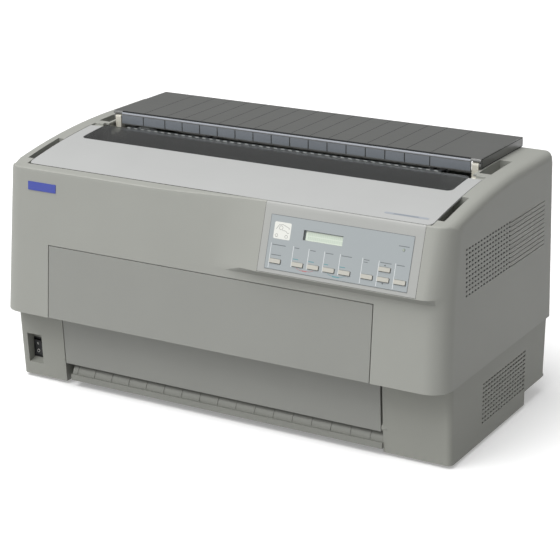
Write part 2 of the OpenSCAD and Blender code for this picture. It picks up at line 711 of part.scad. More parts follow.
module switch_body() {
    z0 = rocker_c[1] - rocker_h / 2;
    z1 = rocker_c[1] + rocker_h / 2;
    color(black) difference() {
        union() {
            span([switch_x - 7.6, recess_back - 1.6, z0 - 1.6], [switch_x + 7.6, recess_back, z1 + 1.6]);
            span([switch_x - 6.9, recess_back - 0.6, z0 - 0.4], [switch_x + 6.9, recess_back + 22, z1 + 0.4]);
        }
        span([switch_x - rocker_w / 2 - 0.3, recess_back - 5, z0 + 0.1],
            [switch_x + rocker_w / 2 + 0.3, recess_back + 14, z1 - 0.1]);
        rod_x(switch_x - 7, switch_x + 7, rocker_c, 1.5 + run_fit);
    }
}

module power_rocker() {
    y = recess_back - 1.6;
    color(black) {
        along_x(switch_x - rocker_w / 2, switch_x + rocker_w / 2, concat(
            [[y - 0.6, rocker_c[1] - rocker_h / 2 + 1.6], [y + 1.2, rocker_c[1]],
             [y - 2.4, rocker_c[1] + rocker_h / 2 - 2]],
            arc(rocker_c, rocker_h / 2 - 1, 62, -62, 6)));
        rod_x(switch_x - 6.8, switch_x + 6.8, rocker_c, 1.5);
    }
}

// Printer cover with its smoked window
window_y0 = lid_y1 - window_depth;
window_y1 = lid_y1 + 9;

module printer_cover() {
    color(lid_grey) {
        difference() {
            intersection() {
                crown_block(-lid_w / 2, lid_w / 2, lid_y0, lid_y1, 0, lid_t);
                translate([0, 0, lid_low]) linear_extrude(lid_high - lid_low)
                    polygon(rounded(-lid_w / 2, lid_w / 2, lid_y0, lid_y1 + 12, 10));
            }
            translate([0, 0, lid_low]) linear_extrude(lid_high - lid_low)
                polygon(rounded(-window_w / 2 - 0.3, window_w / 2 + 0.3, window_y0 - 0.3, lid_y1 + 20, 8));
        }
        both_sides() {
            crown_block(lid_arm_x, lid_arm_x + arm_t, lid_y0 + 12, lid_y1 - 0.5, lid_t - 0.5, lid_t + 9);
            hull() {
                rod_x(lid_arm_x, lid_arm_x + arm_t, lid_pivot, 5);
                span([lid_arm_x, lid_y1 - 14, crown_z(lid_y1 - 14) - 11],
                    [lid_arm_x + arm_t, lid_y1 - 2, crown_z(lid_y1 - 14) - 4]);
            }
            rod_x(post_x - 1, lid_arm_x + arm_t, lid_pivot, pin_r);
            crown_block(window_w / 2 - 4, lid_arm_x + 1, window_y0 - 8, lid_y1 - 2, lid_t, lid_t + 2);
            crown_block(window_w / 2 + 1, lid_arm_x + 1, window_y0 - 8, lid_y1 - 2, lid_t - 0.5, lid_t + 2);
        }
        crown_block(-window_w / 2 + 2, window_w / 2 - 2, window_y0 - 12, window_y0 + 4, lid_t, lid_t + 2);
        crown_block(-window_w / 2 + 2, window_w / 2 - 2, window_y0 - 12, window_y0 - 1, lid_t - 0.5, lid_t + 2);
        for (x = [-240 : 80 : 240])
            crown_block(x - 1, x + 1, lid_y0 + 12, window_y0 - 10, lid_t - 0.5, lid_t + 5);
        crown_block(-lid_arm_x - 1, lid_arm_x + 1, lid_y0 + 11, lid_y0 + 13, lid_t - 0.5, lid_t + 7);
    }
}

module cover_window() {
    color(smoke, 0.7) intersection() {
        crown_block(-window_w / 2, window_w / 2, window_y0, window_y1, 0.4, lid_t - 0.05);
        translate([0, 0, lid_low]) linear_extrude(lid_high - lid_low)
            polygon(rounded(-window_w / 2, window_w / 2, window_y0, window_y1, 7));
    }
}

// Smoked paper eject cover with its ribs
module eject_cover() {
    w = eject_w / 2;
    top = case_top + eject_h;
    lip = w - eject_t - 0.6 - post_w - 1.4;
    pitch = 30.2;
    r = 4;
    roof = concat([[eject_y0, case_top - 5]], arc([eject_y0 + r, top - r], r, 180, 90, 4),
        arc([eject_y1 - r, top - r], r, 90, 0, 4), [[eject_y1, case_top + 0.3]],
        [[eject_y1 - eject_t, case_top + 0.3]], arc([eject_y1 - r - eject_t, top - r - eject_t], r, 0, 90, 4),
        arc([eject_y0 + r + eject_t, top - r - eject_t], r, 90, 180, 4), [[eject_y0 + eject_t, case_top - 5]]);
    color(smoke, 0.7) {
        difference() {
            along_x(-w, w, roof);
            both_sides() span([lip, eject_y0 - 1, case_top - 6], [w + 1, eject_y0 + eject_t + 4, top - r]);
            both_sides() span([lip, eject_y1 - 40, case_top - 6], [w + 1, eject_y1 + 1, case_top + 0.2]);
        }
        both_sides() {
            span([w - eject_t, eject_pivot[0], case_top + 0.3], [w, eject_y1 - 1, top - 0.6]);
            rod_x(w - eject_t, w, eject_pivot, 4.2);
            rod_x(post_x - 1, w, eject_pivot, pin_r);
        }
        for (k = [0 : eject_ribs - 1]) {
            c = k - (eject_ribs - 1) / 2;
            x = path_x + c * pitch + (abs(c) > eject_ribs / 2 - 1 ? sign(c) * 8 : 0);
            along_x(x - 0.9, x + 0.9, [[eject_y0 + 1, case_top - 4], [eject_y0 + 1, top - 3],
                [eject_y0 + 5, top - 1], [eject_y1 - 24, top - 1], [eject_y1 - 34, top - 6],
                [eject_y0 + 30, case_top - 2]]);
        }
    }
}

// Hinge posts that carry both covers at each side
module hinge_brackets() {
    color(ivory) both_sides() difference() {
        union() {
            along_x(post_x, post_x + post_w, [[lid_pivot[0] - 8, case_top - 27],
                [eject_pivot[0] + 10, case_top - 27],
                [eject_pivot[0] + 10, case_top - 15], [eject_pivot[0] + 5, case_top - 12], eject_pivot + [5, 0],
                eject_pivot - [5, 0], [eject_pivot[0] - 5, case_top - 12], [eject_pivot[0] - 9, case_top - 17],
                [lid_pivot[0] + 5, case_top - 17], [lid_pivot[0] - 8, case_top - 19]]);
            along_x(post_x, post_x + post_w, [[lid_pivot[0] - 4, case_top - 20],
                [lid_pivot[0] + 4, case_top - 20], lid_pivot + [4, 0], lid_pivot - [4, 0]]);
            rod_x(post_x, post_x + post_w, lid_pivot, 4.3);
            rod_x(post_x, post_x + post_w, eject_pivot, 5);
            span([post_x, eject_pivot[0] - 10, case_top - 27],
                [eject_grip[0] - 2, eject_pivot[0] + 10, case_top - 18]);
        }
        rod_x(post_x - 1, post_x + post_w + 1, lid_pivot, pin_r + run_fit);
        rod_x(post_x - 1, post_x + post_w + 1, eject_pivot, pin_r + run_fit);
    }
}

module feet() {
    foot_x = base_half - 40;
    color(black) for (x = [-foot_x, foot_x], y = [base_front + 32, base_back - rear_step_l - 26])
        translate([x, y, 0]) cylinder(h = base_clear, r = foot_d / 2, $fn = 36);
}

// Steel floor pan and side frames
module chassis() {
    y0 = base_front + 40;
    step_y = base_back - rear_step_l - wall - 3;
    z1 = base_clear + rear_step_h + wall;
    color(steel) difference() {
        along_x(-base_half + 16, base_half - 16, [[y0, floor_z], [step_y, floor_z], [step_y, z1],
            [base_back - 20, z1], [base_back - 20, z1 + 1.5], [step_y - 1.5, z1 + 1.5],
            [step_y - 1.5, floor_z + 1.5], [y0, floor_z + 1.5]]);
        for (x = [-220 : 110 : 220]) translate([x, 0, floor_z - 1]) cylinder(h = 4, r = 22, $fn = 36);
    }
}

frame_foot = floor_z + 1.5;
frame_back = base_back - rear_step_l - wall - 5;
frame_front = front_y + 51;
frame_shoulder = cover_top + 5.5;
frame_edge = [[frame_front, frame_foot], [frame_back, frame_foot], [frame_back, frame_foot + rear_step_h],
    [base_back - 22, frame_foot + rear_step_h], [base_back - 22, case_top - 40], [eject_y0 + 70, case_top - 27],
    [lid_y1, case_top - 29], [lid_y1 - 50, case_top - 52], [lid_y1 - 80, case_top - 58],
    [frame_front, frame_shoulder]];
slot_z = frame_foot + 50.5;
low_window_z = split_z - 6;
high_window_z = split_z + 34;

module side_frame(x) {
    difference() {
        union() {
            along_x(x, x + frame_t, frame_edge);
            span([x, frame_front + 2, frame_foot], [x + frame_t, frame_back, frame_foot + 3]);
        }
        along_x(x - 1, x + frame_t + 1,
            concat(arc([frame_front + 39, slot_z], 18, 90, 270), arc([frame_back - 30, slot_z], 18, -90, 90)));
        along_x(x - 1, x + frame_t + 1, concat(arc([frame_back - 10, high_window_z], 14, 0, 180),
            arc([frame_back - 10, low_window_z], 14, 180, 360)));
        rod_x(x - 1, x + frame_t + 1, platen_c, shaft_r + run_fit);
        for (c = [front_shaft_c, rear_shaft_c]) rod_x(x - 1, x + frame_t + 1, c, tractor_r + run_fit);
    }
}

stub_r = 5;
belt_z = platen_c[1] - 52;
belt_y = platen_c[0] - 66;
pulley_r = 9.6;
tab_z = belt_z + 5.5;
shelf_z = belt_z - 8.5;
pulley_x0 = frame_x0 + 26;
pulley_x1 = frame_x1 - 24;

module left_frame() {
    color(steel) {
        difference() {
            side_frame(frame_x0);
            rod_x(frame_x0 - 1, frame_x0 + frame_t + 1, pinion_c, 5);
        }
        for (c = [front_idler_c, rear_idler_c]) {
            rod_x(gear_x - 2.4, frame_x0 + 0.5, c, stub_r);
            rod_x(gear_x - 2.4, gear_x - 0.4, c, stub_r + 1.6);
            rod_x(gear_x + gear_w + 0.3, frame_x0 + 0.5, c, stub_r + 2);
        }
        span([frame_x0 + 1, belt_y - 21, tab_z], [pulley_x0 + 20, belt_y + 21, tab_z + 2.5]);
        translate([pulley_x0, belt_y, belt_z - 6]) cylinder(h = tab_z - belt_z + 7, r = 3, $fn = 36);
        translate([pulley_x0, belt_y, belt_z - 7.5]) cylinder(h = 2, r = 5, $fn = 36);
    }
}

module right_frame() {
    color(steel) {
        side_frame(inner_x1);
        difference() {
            span([pulley_x1 - 21, belt_y - 21, shelf_z], [inner_x1 + 1, belt_y + 21, shelf_z + frame_t]);
            translate([pulley_x1, belt_y, shelf_z - 1]) cylinder(h = frame_t + 2, r = 4.5, $fn = 36);
        }
    }
}

// Fixed rods: two for the carriage, two that carry the tractors' backs
module carriage_rods() {
    color(ground) for (c = [rod_front, rod_rear]) rod_x(inner_x0, inner_x1, c, rod_r);
}

module guide_shafts() {
    color(ground) for (c = [front_guide_c, rear_guide_c]) rod_x(inner_x0, inner_x1, c, tractor_r);
}

// Outline of a spur gear in the side view, with its first tooth at an angle
function gear_outline(teeth, first) = [for (k = [0 : teeth - 1], q = [-1.03, -0.42, 0.42, 1.03])
    let (a = first + 360 * k / teeth + q * 81 / teeth * (abs(q) > 1 ? 1.04 : 1),
         r = abs(q) > 1 ? pitch_r(teeth) - 1.2 * gear_m : pitch_r(teeth) + 0.92 * gear_m) r * [cos(a), sin(a)]];
// Angle of a tooth on the gear that meshes with another, centres apart along an angle
function mesh(first, teeth, other, along) = along + 180 - (first - along) * teeth / other + 180 / other;

platen_tooth = 0;
rear_idler_tooth = mesh(platen_tooth, main_teeth, rear_teeth, 0);
rear_tooth = mesh(rear_idler_tooth, rear_teeth, main_teeth, 0);
front_idler_tooth = mesh(platen_tooth, main_teeth, front_teeth, front_angle);
front_tooth = mesh(front_idler_tooth, front_teeth, main_teeth, front_angle);
pinion_tooth = mesh(front_idler_tooth, front_teeth, pinion_teeth, pinion_angle);

// A spur gear with thinned web and a hub
module gear(c, teeth, first, hole, hub) {
    rim = pitch_r(teeth) - 1.2 * gear_m - 2.6;
    difference() {
        translate([gear_x, c[0], c[1]]) rotate([90, 0, 90]) linear_extrude(gear_w)
            polygon(gear_outline(teeth, first));
        if (rim > hub + 4) for (x = [gear_x - 1, gear_x + gear_w - 2]) tube_x(x, x + 3, c, rim, hub);
        if (rim > hub + 14) for (a = [0 : 60 : 300])
            rod_x(gear_x - 1, gear_x + gear_w + 1, c + (rim + hub) / 2 * [cos(a), sin(a)], (rim - hub) / 3.4);
        if (hole > 0) rod_x(gear_x - 1, gear_x + gear_w + 1, c, hole);
    }
}

module platen_roller() {
    color("#33373a") tube_x(path_x - platen_l / 2, path_x + platen_l / 2, platen_c, platen_d / 2, shaft_r);
}

module platen_shaft() {
    color(steel) {
        rod_x(gear_x - 4, frame_x1 + 10, platen_c, shaft_r);
        gear(platen_c, main_teeth, platen_tooth, 0, 10);
        for (x = [frame_x0 - 1.8, frame_x1 + 0.3]) rod_x(x, x + 1.5, platen_c, shaft_r + 3);
    }
}

module drive_shaft(c, first) {
    color(steel) {
        rod_x(gear_x - 2, frame_x1 + 6, c, tractor_r);
        gear(c, main_teeth, first, 0, 9);
        for (x = [frame_x0 - 1.8, frame_x1 + 0.3]) rod_x(x, x + 1.5, c, tractor_r + 2.5);
    }
}

module front_drive_shaft() { drive_shaft(front_shaft_c, front_tooth); }
module rear_drive_shaft() { drive_shaft(rear_shaft_c, rear_tooth); }
module front_idler_gear() {
    color(ivory) gear(front_idler_c, front_teeth, front_idler_tooth, stub_r + run_fit, 9);
}
module rear_idler_gear() {
    color(ivory) gear(rear_idler_c, rear_teeth, rear_idler_tooth, stub_r + run_fit, 8);
}

motor_l = 52;
motor_r = 26;
motor_shaft_r = 3;
module feed_motor() {
    color(motor_grey) difference() {
        union() {
            rod_x(inner_x0, inner_x0 + motor_l, pinion_c, motor_r);
            span([inner_x0, pinion_c[0] - 28, pinion_c[1] - 28],
                [inner_x0 + 3, pinion_c[0] + 28, pinion_c[1] + 28]);
            rod_x(inner_x0 + motor_l - 1, inner_x0 + motor_l + 3, pinion_c, 9);
        }
        rod_x(inner_x0 - 1, inner_x0 + 30, pinion_c, motor_shaft_r + run_fit);
    }
}

module motor_pinion() {
    color(brass) {
        gear(pinion_c, pinion_teeth, pinion_tooth, 0, 6);
        rod_x(gear_x, inner_x0 + 29, pinion_c, motor_shaft_r);
    }
}

// Belt drive of the carriage
module pulley(x, hole) {
    translate([x, belt_y, belt_z]) difference() {
        union() {
            translate([0, 0, -4]) cylinder(h = 8, r = pulley_r - 0.3, $fn = 48);
            for (z = [-5.2, 3.9]) translate([0, 0, z]) cylinder(h = 1.3, r = pulley_r + 2.2, $fn = 48);
        }
        if (hole > 0) translate([0, 0, -8]) cylinder(h = 16, r = hole, $fn = 36);
    }
}

module drive_pulley() {
    color(steel) {
        pulley(pulley_x1, 0);
        translate([pulley_x1, belt_y, shelf_z - 19]) cylinder(h = 24, r = 2.5, $fn = 36);
    }
}

module idler_pulley() {
    color(ivory) pulley(pulley_x0, 3 + run_fit);
}

module carriage_motor() {
    color(motor_grey) translate([pulley_x1, belt_y, shelf_z]) difference() {
        union() {
            translate([0, 0, -34]) cylinder(h = 34, r = 20, $fn = 60);
            span([-21, -21, -3], [21, 21, 0]);
        }
        translate([0, 0, -20]) cylinder(h = 21, r = 2.5 + run_fit, $fn = 36);
    }
}

belt_t = 1.4;
belt_h = 6.5;
module drive_belt() {
    color(black) translate([0, 0, belt_z - belt_h / 2]) {
        for (side = [-1, 1]) span([pulley_x0, belt_y + side * (pulley_r + belt_t / 2) - belt_t / 2, 0],
            [pulley_x1, belt_y + side * (pulley_r + belt_t / 2) + belt_t / 2, belt_h]);
        for (end = [[pulley_x0, 90], [pulley_x1, -90]]) translate([end[0], belt_y, 0]) rotate([0, 0, end[1]])
            rotate_extrude(angle = 180, $fn = 48) translate([pulley_r, 0]) square([belt_t, belt_h]);
    }
}

carriage_w = 76;
module carriage() {
    x0 = path_x - carriage_w / 2;
    x1 = path_x + carriage_w / 2;
    z0 = belt_z - 6;
    belt_run = belt_y - pulley_r - belt_t;
    color(black) difference() {
        union() {
            along_x(x0, x1, [rod_front + [-12, -12], rod_rear + [12, -12], rod_rear + [12, 10],
                rod_front + [14, 12], rod_front + [-12, 12]]);
            span([path_x - 14, belt_run - 5, z0], [path_x + 14, belt_run + belt_t + 4, rod_rear[1] - 11]);
        }
        rod_x(x0 - 1, x1 + 1, rod_front, rod_r + run_fit);
        rod_x(x0 - 1, x1 + 1, rod_rear, rod_r + run_fit);
        span([path_x - 15, belt_run - 0.4, belt_z - belt_h / 2 - 0.5],
            [path_x + 15, belt_run + belt_t + 0.4, belt_z + belt_h / 2 + 0.5]);
    }
}

// Print head: finned body with a narrow nose towards the platen
module print_head() {
    base_z = rod_front[1] + 12;
    fin_pitch = 4.4;
    nose_y = platen_c[0] - 21.8;
    color("#54585a") {
        span([path_x - 24, rod_front[0] - 10, base_z], [path_x + 24, rod_front[0] + 12, platen_c[1] + 14]);
        for (k = [0 : 8]) translate([0, rod_front[0] - 9 + k * fin_pitch, 0])
            span([path_x - 30, 0, base_z + 2], [path_x + 30, 2, platen_c[1] + 17]);
        along_x(path_x - 13, path_x + 13, [[rod_front[0] + 10, base_z], [rod_front[0] + 34, base_z],
            [nose_y - 12.2, platen_c[1] - 6], [nose_y, platen_c[1] - 4], [nose_y, platen_c[1] + 4],
            [nose_y - 12.2, platen_c[1] + 6], [rod_front[0] + 34, platen_c[1] + 13],
            [rod_front[0] + 10, platen_c[1] + 13]]);
    }
}

// Ribbon cartridge with arms that hold the ribbon before the platen
cart = [front_y + 36, platen_c[0] - 99, platen_c[1] - 34, platen_c[1] + 12];
arm_x = 231;
knob_c = [path_x - 150, cart[1] - 22];
module ribbon_cartridge() {
    arm_end = platen_c[0] - 20.6;
    color(black) {
        difference() {
            translate([0, 0, cart[2]]) linear_extrude(cart[3] - cart[2])
                polygon(rounded(path_x - 246, path_x + 246, cart[0], cart[1], 8));
            translate([knob_c[0], knob_c[1], cart[3] - 12]) cylinder(h = 20, r = 3 + run_fit, $fn = 36);
        }
        for (side = [-1, 1]) {
            x0 = path_x + side * arm_x;
            span([x0 - 4, cart[1] - 2, platen_c[1] - 8], [x0 + 4, arm_end - 6, platen_c[1] + 8]);
            span([x0 - 1, arm_end - 8, platen_c[1] - 8], [x0 + 4, arm_end, platen_c[1] + 8]);
            span([min(x0 + side * 14, x0), cart[1] - 40, cart[2] - 2],
                [max(x0 + side * 14, x0), cart[1] - 10, cart[2] + 4]);
        }
        span([path_x - arm_x - 1, arm_end - 0.8, platen_c[1] - 6.5],
            [path_x + arm_x + 1, arm_end - 0.5, platen_c[1] + 6.5]);
        for (ends = [[inner_x0, path_x - 245], [path_x + 245, inner_x1]])
            span([ends[0], cart[0] + 20, cart[2] + 2], [ends[1], cart[0] + 40, cart[2] + 8]);
    }
}

module ribbon_knob() {
    color("#2f5d8a") translate([knob_c[0], knob_c[1], cart[3]]) {
        translate([0, 0, -11]) cylinder(h = 12, r = 3, $fn = 36);
        difference() {
            translate([0, 0, 0.3]) cylinder(h = 8, r = 10, $fn = 48);
            for (a = [0 : 30 : 330]) rotate([0, 0, a])
                translate([10.4, 0, -1]) cylinder(h = 12, r = 1.5, $fn = 24);
        }
    }
}

// Tractors: a body with its pin belt on the shafts, and a flap hinged on its outer side
pin_pitch = 12.7;
flap_t = 3;
// A tractor lies between two shafts: along is +1 where its far end is towards the back
module tractor(x, drive, guide, along) {
    y0 = min(drive[0], guide[0]) - 18;
    y1 = max(drive[0], guide[0]) + 15;
    top = drive[1] + 15;
    end_r = 12;
    color(black) difference() {
        union() {
            along_x(x - tractor_w / 2, x + tractor_w / 2, concat(
                arc([y1 - end_r, top - end_r], end_r, 0, 90), arc([y0 + end_r, top - end_r], end_r, 90, 180),
                arc([y0 + end_r, top - end_r - 5], end_r, 180, 270),
                arc([y1 - end_r, top - end_r - 5], end_r, 270, 360)));
            rod_x(x - tractor_w / 2, x + tractor_w / 2, drive, 9);
            for (y = [y0 + 14 : pin_pitch : y1 - end_r])
                translate([x, y, top - 1]) cylinder(h = 2.8, r = 1.9, $fn = 16);
        }
        rod_x(x - tractor_w, x + tractor_w, drive, tractor_r + run_fit);
        rod_x(x - tractor_w, x + tractor_w, guide, tractor_r + run_fit);
    }
}

function flap_pin(x, drive, side) = [x + side * (tractor_w / 2 + 3.2), drive[1] + 15];
module tractor_ears(x, drive, guide, side) {
    y0 = min(drive[0], guide[0]) - 2;
    y1 = max(drive[0], guide[0]) + 8;
    p = flap_pin(x, drive, side);
    root = x + side * (tractor_w / 2 - 1);
    color(black) for (y = [y0, y1]) {
        translate([p[0], y, p[1]]) rotate([-90, 0, 0]) cylinder(h = 4, r = 2.6, $fn = 36);
        span([min(root, p[0]), y, p[1] - 2.6], [max(root, p[0]), y + 4, p[1]]);
        translate([p[0], y - 3.8, p[1]]) rotate([-90, 0, 0]) cylinder(h = 4, r = 1.3, $fn = 36);
    }
}

module flap(x, drive, guide, side) {
    y0 = min(drive[0], guide[0]) - 2;
    y1 = max(drive[0], guide[0]) + 8;
    p = flap_pin(x, drive, side);
    low = p[1] + 2.2;
    near = p[0] - side * 1.5;
    far = x - side * tractor_w / 2;
    color("#3b3e40") difference() {
        union() {
            span([min(near, far), y0 - 9, low], [max(near, far), y1 + 9, low + flap_t]);
            for (y = [y0 - 3.6, y1 - 3.6]) {
                translate([p[0], y, p[1]]) rotate([-90, 0, 0]) cylinder(h = 3.2, r = 2.9, $fn = 36);
                span([min(p[0], p[0] - side * 4), y, p[1] + 1.2],
                    [max(p[0], p[0] - side * 4), y + 3.2, low + 1]);
            }
        }
        span([x - 3, y0 - 6, low - 1], [x + 3, y1 + 6, low + flap_t + 1]);
        for (y = [y0 - 4.2, y1 - 4.2])
            translate([p[0], y, p[1]]) rotate([-90, 0, 0]) cylinder(h = 5, r = 1.35, $fn = 36);
    }
}

tractor_x = [path_x - 190, path_x + 190];
module whole_tractor(k, drive, guide, along) {
    tractor(tractor_x[k], drive, guide, along);
    tractor_ears(tractor_x[k], drive, guide, 2 * k - 1);
}

module front_tractor_left() { whole_tractor(0, front_shaft_c, front_guide_c, -1); }
module front_tractor_right() { whole_tractor(1, front_shaft_c, front_guide_c, -1); }
module rear_tractor_left() { whole_tractor(0, rear_shaft_c, rear_guide_c, 1); }
module rear_tractor_right() { whole_tractor(1, rear_shaft_c, rear_guide_c, 1); }
module front_flap_left() { flap(tractor_x[0], front_shaft_c, front_guide_c, -1); }
module front_flap_right() { flap(tractor_x[1], front_shaft_c, front_guide_c, 1); }
module rear_flap_left() { flap(tractor_x[0], rear_shaft_c, rear_guide_c, -1); }
module rear_flap_right() { flap(tractor_x[1], rear_shaft_c, rear_guide_c, 1); }

// Cooling fan by the right-hand vents
fan_box = 32;
fan_c = [front_y + 200, base_low + fan_box];
fan_x = base_half - wall - 1;
module fan_frame() {
    color(black) {
        difference() {
            span([fan_x - 18, fan_c[0] - fan_box, fan_c[1] - fan_box],
                [fan_x, fan_c[0] + fan_box, fan_c[1] + fan_box]);
            rod_x(fan_x - 19, fan_x + 1, fan_c, fan_d / 2 + 1.5);
        }
        for (a = [45, 135]) translate([fan_x - 17, fan_c[0], fan_c[1]])
            rotate([a, 0, 0]) span([-1, -31, -2], [1, 31, 2]);
        rod_x(fan_x - 18, fan_x - 15, fan_c, 10);
        rod_x(fan_x - 17, fan_x - 3, fan_c, 2);
    }
}

module fan_rotor() {
    color("#3b3e40") {
        tube_x(fan_x - 14.5, fan_x - 2, fan_c, 9, 2 + run_fit);
        for (a = [0 : 360 / 7 : 350]) translate([fan_x - 8.2, fan_c[0], fan_c[1]]) rotate([a, 0, 0])
            rotate([0, 32, 0]) span([-6, 8, -0.7], [6, fan_d / 2 - 3, 0.7]);
    }
}

// Electrics on the floor pan
supply_x = [inner_x0 + 27.5, inner_x0 + 127.5];
supply_y = [front_y + 90, front_y + 230];
supply_h = 70;
sheet = 1.5;
board = [supply_x[1] + 20, inner_x1 - 19.5, front_y + 85, front_y + 235];
post_in = 10;
chip_pitch = (board[1] - board[0] - 70) / 6;
module main_board() {
    z = frame_foot + 6;
    color(board_green) {
        span([board[0], board[2], z], [board[1], board[3], z + 1.6]);
        for (x = [board[0] + post_in, (board[0] + board[1]) / 2, board[1] - post_in],
            y = [board[2] + 7, board[3] - 7])
            translate([x, y, frame_foot]) cylinder(h = z - frame_foot + 0.5, r = 3, $fn = 24);
        for (k = [0 : 5])
            translate([board[0] + 20 + k * chip_pitch, board[2] + 35, z + 1.4]) cube([30, 20, 3.6]);
        for (k = [0 : 3])
            translate([board[0] + 30 + k * 30, board[2] + 105, z + 1]) cylinder(h = 26, r = 9, $fn = 36);
        span([board[1] - 170, board[2] + 95, z + 1], [board[1] - 50, board[2] + 101, z + 40]);
        span([ports[0] + 0.4, base_back - 16, ports[2] + 0.4],
            [ports[1] - 0.4, base_back - 2.2, ports[3] - 0.4]);
        translate([ports[0], base_back - 56, rear_step_h]) {
            span([5, 0, z + 7], [ports[1] - ports[0] - 5, 44, z + 9]);
            span([10, 0, frame_foot], [ports[1] - ports[0] - 10, 2, z + 8]);
        }
    }
}

module power_supply() {
    x0 = supply_x[0];
    x1 = supply_x[1];
    color(steel) difference() {
        span([x0, supply_y[0], frame_foot], [x1, supply_y[1], frame_foot + supply_h]);
        span([x0 + sheet, supply_y[0] + sheet, frame_foot - 1],
            [x1 - sheet, supply_y[1] - sheet, frame_foot + supply_h - sheet]);
        for (k = [0 : 8])
            translate([x0 + 10, supply_y[0] + 10 + k * 14, frame_foot + supply_h - 3]) cube([80, 6, 5]);
    }
}

module power_inlet() {
    color(black) difference() {
        union() {
            span([inlet_x - 25.4, base_back - 1.35, inlet_z - 15.4],
                [inlet_x + 25.4, base_back + 0.6, inlet_z + 15.4]);
            span([inlet_x - 23.6, base_back - 22, inlet_z - 13.6],
                [inlet_x + 23.6, base_back - 3, inlet_z + 13.6]);
        }
        span([inlet_x - 12, base_back - 18, inlet_z - 8.5], [inlet_x + 12, base_back + 1, inlet_z + 8.5]);
    }
    color("#d8c690") for (k = [-1 : 1]) translate([inlet_x + k * 7 - 1, base_back - 19, inlet_z - 2 + abs(k)])
        cube([2, 11, 4]);
}

upper_case();
lower_case();
chassis();
left_frame();
right_frame();
front_sill();
inner_guide();
rear_guide();
exit_guide();
console_bezel();
panel_label();
panel_board();
switch_body();
power_inlet();
main_board();
power_supply();
fan_frame();
fan_rotor();
carriage_rods();
guide_shafts();
hinge_brackets();
feet();
carriage_motor();
feed_motor();
drive_belt();
ribbon_cartridge();
ribbon_knob();
printer_cover();
cover_window();
eject_cover();
front_cover();
button_1();
button_2();
button_3();
button_4();
button_5();
button_6();
button_7();
button_8();
button_9();
power_rocker();
carriage();
print_head();
drive_pulley();
idler_pulley();
platen_roller();
platen_shaft();
front_drive_shaft();
rear_drive_shaft();
front_idler_gear();
rear_idler_gear();
motor_pinion();
front_tractor_left();
front_tractor_right();
rear_tractor_left();
rear_tractor_right();
front_flap_left();
front_flap_right();
rear_flap_left();
rear_flap_right();
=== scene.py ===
# %% [markdown]
# # A wide dot matrix printer, dressed for its portrait
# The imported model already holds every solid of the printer: cases, covers, frames, gears and shafts.
# This lesson gives those solids their finish. It softens their edges, paints their plastics and metals,
# and adds what is too small for the solids: printed film, screws, belt teeth and connector pins.

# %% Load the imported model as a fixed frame
import json
import math

import bmesh
import bpy
from mathutils import Matrix, Vector

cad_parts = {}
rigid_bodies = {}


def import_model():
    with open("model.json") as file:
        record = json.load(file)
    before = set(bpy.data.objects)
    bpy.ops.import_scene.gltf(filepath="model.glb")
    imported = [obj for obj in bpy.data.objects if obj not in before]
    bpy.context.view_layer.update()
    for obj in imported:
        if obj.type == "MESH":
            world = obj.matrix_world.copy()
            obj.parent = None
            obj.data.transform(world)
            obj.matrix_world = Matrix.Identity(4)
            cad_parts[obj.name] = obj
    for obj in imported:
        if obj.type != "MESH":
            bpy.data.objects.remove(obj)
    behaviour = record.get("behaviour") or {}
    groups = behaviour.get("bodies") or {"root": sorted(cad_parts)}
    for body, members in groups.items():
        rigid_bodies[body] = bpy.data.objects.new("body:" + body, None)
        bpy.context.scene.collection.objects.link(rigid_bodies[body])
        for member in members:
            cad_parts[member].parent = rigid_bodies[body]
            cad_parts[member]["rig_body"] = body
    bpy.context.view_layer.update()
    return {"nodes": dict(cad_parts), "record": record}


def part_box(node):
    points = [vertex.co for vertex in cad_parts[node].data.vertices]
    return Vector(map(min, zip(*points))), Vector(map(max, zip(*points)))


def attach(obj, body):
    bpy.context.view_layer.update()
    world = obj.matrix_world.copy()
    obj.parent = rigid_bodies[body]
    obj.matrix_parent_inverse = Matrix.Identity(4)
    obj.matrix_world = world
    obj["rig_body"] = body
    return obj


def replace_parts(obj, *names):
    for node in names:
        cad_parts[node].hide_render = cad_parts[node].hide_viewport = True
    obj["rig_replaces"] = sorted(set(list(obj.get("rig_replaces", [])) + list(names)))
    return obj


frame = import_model()

# %% [markdown]
# ## Units, and places read from the frame
# The frame is in metres and the printer was drawn in millimetres, so one factor turns one into the other.
# A printed line or a screw has to lie right on its solid, so where a solid's box gives a size, it is read
# from there. That is safer than typing it again, and it follows when the model is packed anew.

# %% Millimetres, boxes, and who rides on what
MM = 0.001
slot_of = {part["node"]: part["material_slot"] for part in frame["record"]["subparts"]}
body_of = {node: thing["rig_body"] for node, thing in frame["nodes"].items()}


def box_mm(node):
    """Lowest and highest corner of a CAD node, in millimetres."""
    low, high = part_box(node)
    return low / MM, high / MM


def at(x, y, z):
    """A place given in millimetres, in metres."""
    return Vector((x, y, z)) * MM


print(len(slot_of), "nodes in", len(set(slot_of.values())), "finishes")

# %% [markdown]
# ## Colours and nodes
# Colours are written as sRGB hex, as a paint card gives them, and shaders want linear light, so one
# function turns the first into the second. A material could be clicked together in the shader editor, but
# a script that adds its nodes can be read, repeated and changed, so one function adds a node with its
# settings and links, and another starts a material with the Object coordinates all patterns here use.

# %% Helpers for colours and nodes


def linear(code):
    """The linear colour of an sRGB hex code."""
    shares = [int(code[i:i + 2], 16) / 255 for i in (1, 3, 5)]
    return [s / 12.92 if s <= 0.04045 else ((s + 0.055) / 1.055) ** 2.4 for s in shares] + [1.0]


def wire(tree, item, inputs):
    """Gives each named input of a node a value or a link."""
    for key, value in dict(inputs).items():
        socket = item.inputs[key]
        if isinstance(value, bpy.types.NodeSocket):
            tree.links.new(value, socket)
        else:
            socket.default_value = value
    return item


